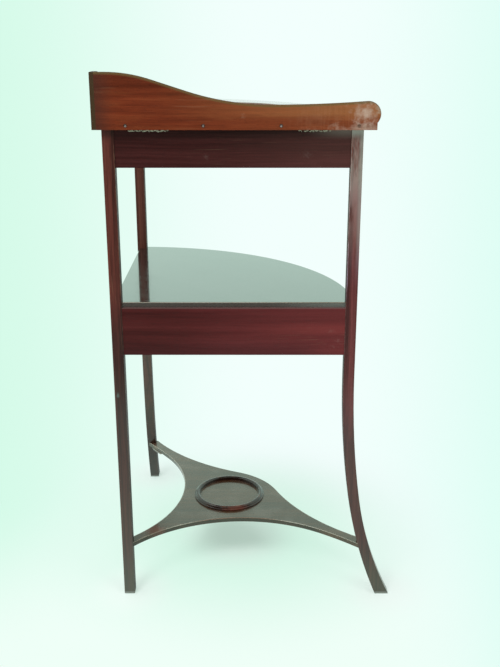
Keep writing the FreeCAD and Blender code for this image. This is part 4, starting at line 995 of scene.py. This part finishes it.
class WASHSTAND_OT_stage(bpy.types.Operator):
    """Lay the floor and set the room, the lamps and the camera"""

    bl_idname = "washstand.stage"
    bl_label = "Stage"

    def execute(self, context):
        stage = context.scene.washstand.stage
        mesh = bpy.data.meshes.new("floor")
        disc = bmesh.new()
        bmesh.ops.create_circle(disc, cap_ends=True, segments=96, radius=FLOOR_RADIUS)
        disc.to_mesh(mesh)
        disc.free()
        mesh.transform(Matrix.Translation((*FLOOR_CENTRE[:2], -FLOOR_DROP)))
        floor = add_object("floor", mesh)
        mesh.materials.append(self.floor_finish(stage))

        mesh = bpy.data.meshes.new("dark_side_of_the_room")
        half, away, top = 4.0, -0.9, 1.25
        corners = [(-half, away, 0.0), (half, away, 0.0), (half, away, top), (-half, away, top)]
        mesh.from_pydata(corners, [], [(0, 1, 2, 3)])
        screen = add_object("dark_side_of_the_room", mesh)
        for ray in ("camera", "diffuse", "shadow", "transmission", "volume_scatter"):
            setattr(screen, f"visible_{ray}", False)
        dark = Finish("dark_room")
        dim = dark.mix(dark.within(1.0, z=(0.16, 0.0)), (0.03, 0.028, 0.027), stage.room_left)
        glow = dark.add("ShaderNodeEmission", {"Color": dim})
        dark.add("ShaderNodeOutputMaterial", (glow,))
        mesh.materials.append(dark.material)

        self.light_room(context.scene, stage)
        self.lamp("overhead_lamp", stage.overhead, 2.4, (-0.9, -0.2, 3.3), (0.2, 0.2, 0.0), True)
        self.lamp("left_lamp", stage.left, 1.0, (-0.9, -1.7, 2.7), (0.2, 0.1, 0.4), False)
        self.lamp("right_lamp", stage.right, 1.0, (1.9, -1.6, 2.4), (0.2, 0.1, 0.4), False)

        camera = bpy.data.cameras.new("camera")
        camera.lens = stage.lens
        camera.sensor_width = SENSOR_WIDTH
        viewer = add_object("camera", camera)
        viewer.location = stage.camera
        viewer.rotation_euler = stage.tilt
        context.scene.camera = viewer
        context.scene.view_settings.view_transform = "Standard"
        return {"FINISHED"}

    def room_colour(self, nodes, bearing, stage):
        """The colour of the room in a direction: palest in the middle, and greener to the sides and above."""
        across, _, up = nodes.split(bearing)
        sides = nodes.mix(nodes.smooth(-0.05, 0.2, across), stage.room_left, stage.room_right)
        middle = nodes.smooth(-0.3, 0.02, across) * nodes.smooth(0.38, 0.08, across)
        level = nodes.mix(middle, sides, stage.room_middle)
        near = nodes.smooth(-0.47, -0.6, up) * nodes.smooth(0.3, 0.1, across)
        level = nodes.mix(near, level, stage.floor)
        return nodes.mix(nodes.smooth(0.04, 0.2, up), level, stage.room_above)

    def light_room(self, scene, stage):
        """Even light from all round, and the room's own colours where it is seen or mirrored."""
        scene.world = bpy.data.worlds.new("pale_room")
        scene.world.use_nodes = True
        sky = Nodes(scene.world.node_tree)
        rays = ("Is Camera Ray", "Is Glossy Ray", "Is Transmission Ray")
        seen = sum(sky.add("ShaderNodeLightPath", output=ray) for ray in rays)
        bearing = sky.add("ShaderNodeTexCoord", output="Generated")
        up = sky.split(bearing)[2]
        grey = sky.mix(sky.smooth(0.2, 0.75, up), (stage.fill_low,) * 3, (stage.fill_high,) * 3)
        grey = sky.mix(sky.smooth(0.0, -0.1, up), grey, stage.fill_below)
        fill = sky.add("ShaderNodeBackground", {"Color": grey})
        colour = self.room_colour(sky, bearing, stage)
        room = sky.add("ShaderNodeBackground", {"Color": colour})
        either = sky.add("ShaderNodeMixShader", (seen, fill, room))
        sky.add("ShaderNodeOutputWorld", (either,))

    def floor_finish(self, stage):
        """Matt paper under the stand that takes its shadow, then pale light that thins out into the room."""
        finish = Finish("pale_floor")
        far = finish.distance(finish.place, FLOOR_CENTRE)
        bearing = finish.vectors("NORMALIZE", finish.vectors("SUBTRACT", finish.place, stage.camera))
        room = self.room_colour(finish, bearing, stage)
        colour = finish.mix(finish.smooth(0.45, 0.1, far), room, stage.room_left)
        share = 0.53 - finish.smooth(0.03, 0.15, far) * 0.36 - finish.smooth(0.2, 0.55, far) * 0.17
        for foot in ((0.0, 0.0, 0.0), (FOOT_SPACING, 0.0, 0.0), (0.0, FOOT_SPACING, 0.0)):
            share = share + finish.smooth(0.1, 0.01, finish.distance(finish.place, foot)) * 0.3
        light = finish.add("ShaderNodeEmission", {"Color": colour})
        paper = finish.add("ShaderNodeBsdfDiffuse", {"Color": (0.97, 0.99, 0.985, 1.0)})
        lit = finish.add("ShaderNodeMixShader", (share, light, paper))
        clear = finish.add("ShaderNodeBsdfTransparent")
        both = finish.add("ShaderNodeMixShader", (finish.smooth(0.6, 0.95, far), lit, clear))
        finish.add("ShaderNodeOutputMaterial", (both,))
        return finish.material

    def lamp(self, name, power, width, place, target, mirrored):
        """A square soft lamp that looks at a target, and may show in polished wood."""
        light = bpy.data.lights.new(name, "AREA")
        light.energy = power
        light.size = width
        lamp = add_object(name, light)
        lamp.location = place
        lamp.rotation_euler = (Vector(target) - Vector(place)).to_track_quat("-Z", "Y").to_euler()
        lamp.visible_glossy = mirrored


OPERATORS = (
    WASHSTAND_OT_posts, WASHSTAND_OT_splash, WASHSTAND_OT_rails, WASHSTAND_OT_tops, WASHSTAND_OT_stretcher,
    WASHSTAND_OT_fronts, WASHSTAND_OT_linings, WASHSTAND_OT_metal, WASHSTAND_OT_glue, WASHSTAND_OT_threads,
    WASHSTAND_OT_brads, WASHSTAND_OT_stage,
)


class WASHSTAND_PT_steps(bpy.types.Panel):
    """The steps and settings of the washstand"""

    bl_idname = "WASHSTAND_PT_steps"
    bl_label = "Corner Washstand"
    bl_space_type = "VIEW_3D"
    bl_region_type = "UI"
    bl_category = "Washstand"

    def draw(self, context):
        for operator in OPERATORS:
            self.layout.operator(operator.bl_idname)
        for group in ("wood", "wear", "metal", "stage"):
            settings = getattr(context.scene.washstand, group)
            box = self.layout.box()
            box.label(text=group.capitalize())
            for name in settings.__annotations__:
                box.prop(settings, name)


CLASSES = (WashstandWood, WashstandWear, WashstandMetal, WashstandStage, Washstand, *OPERATORS,
           WASHSTAND_PT_steps)


def register():
    for cls in CLASSES:
        bpy.utils.register_class(cls)
    bpy.types.Scene.washstand = PointerProperty(type=Washstand)


def unregister():
    del bpy.types.Scene.washstand
    for cls in reversed(CLASSES):
        bpy.utils.unregister_class(cls)


def main():
    register()
    bpy.ops.washstand.posts()
    bpy.ops.washstand.splash()
    bpy.ops.washstand.rails()
    bpy.ops.washstand.tops()
    bpy.ops.washstand.stretcher()
    bpy.ops.washstand.fronts()
    bpy.ops.washstand.linings()
    bpy.ops.washstand.metal()
    bpy.ops.washstand.glue()
    bpy.ops.washstand.threads()
    bpy.ops.washstand.brads()
    bpy.ops.washstand.stage()


if __name__ == "__main__":
    main()
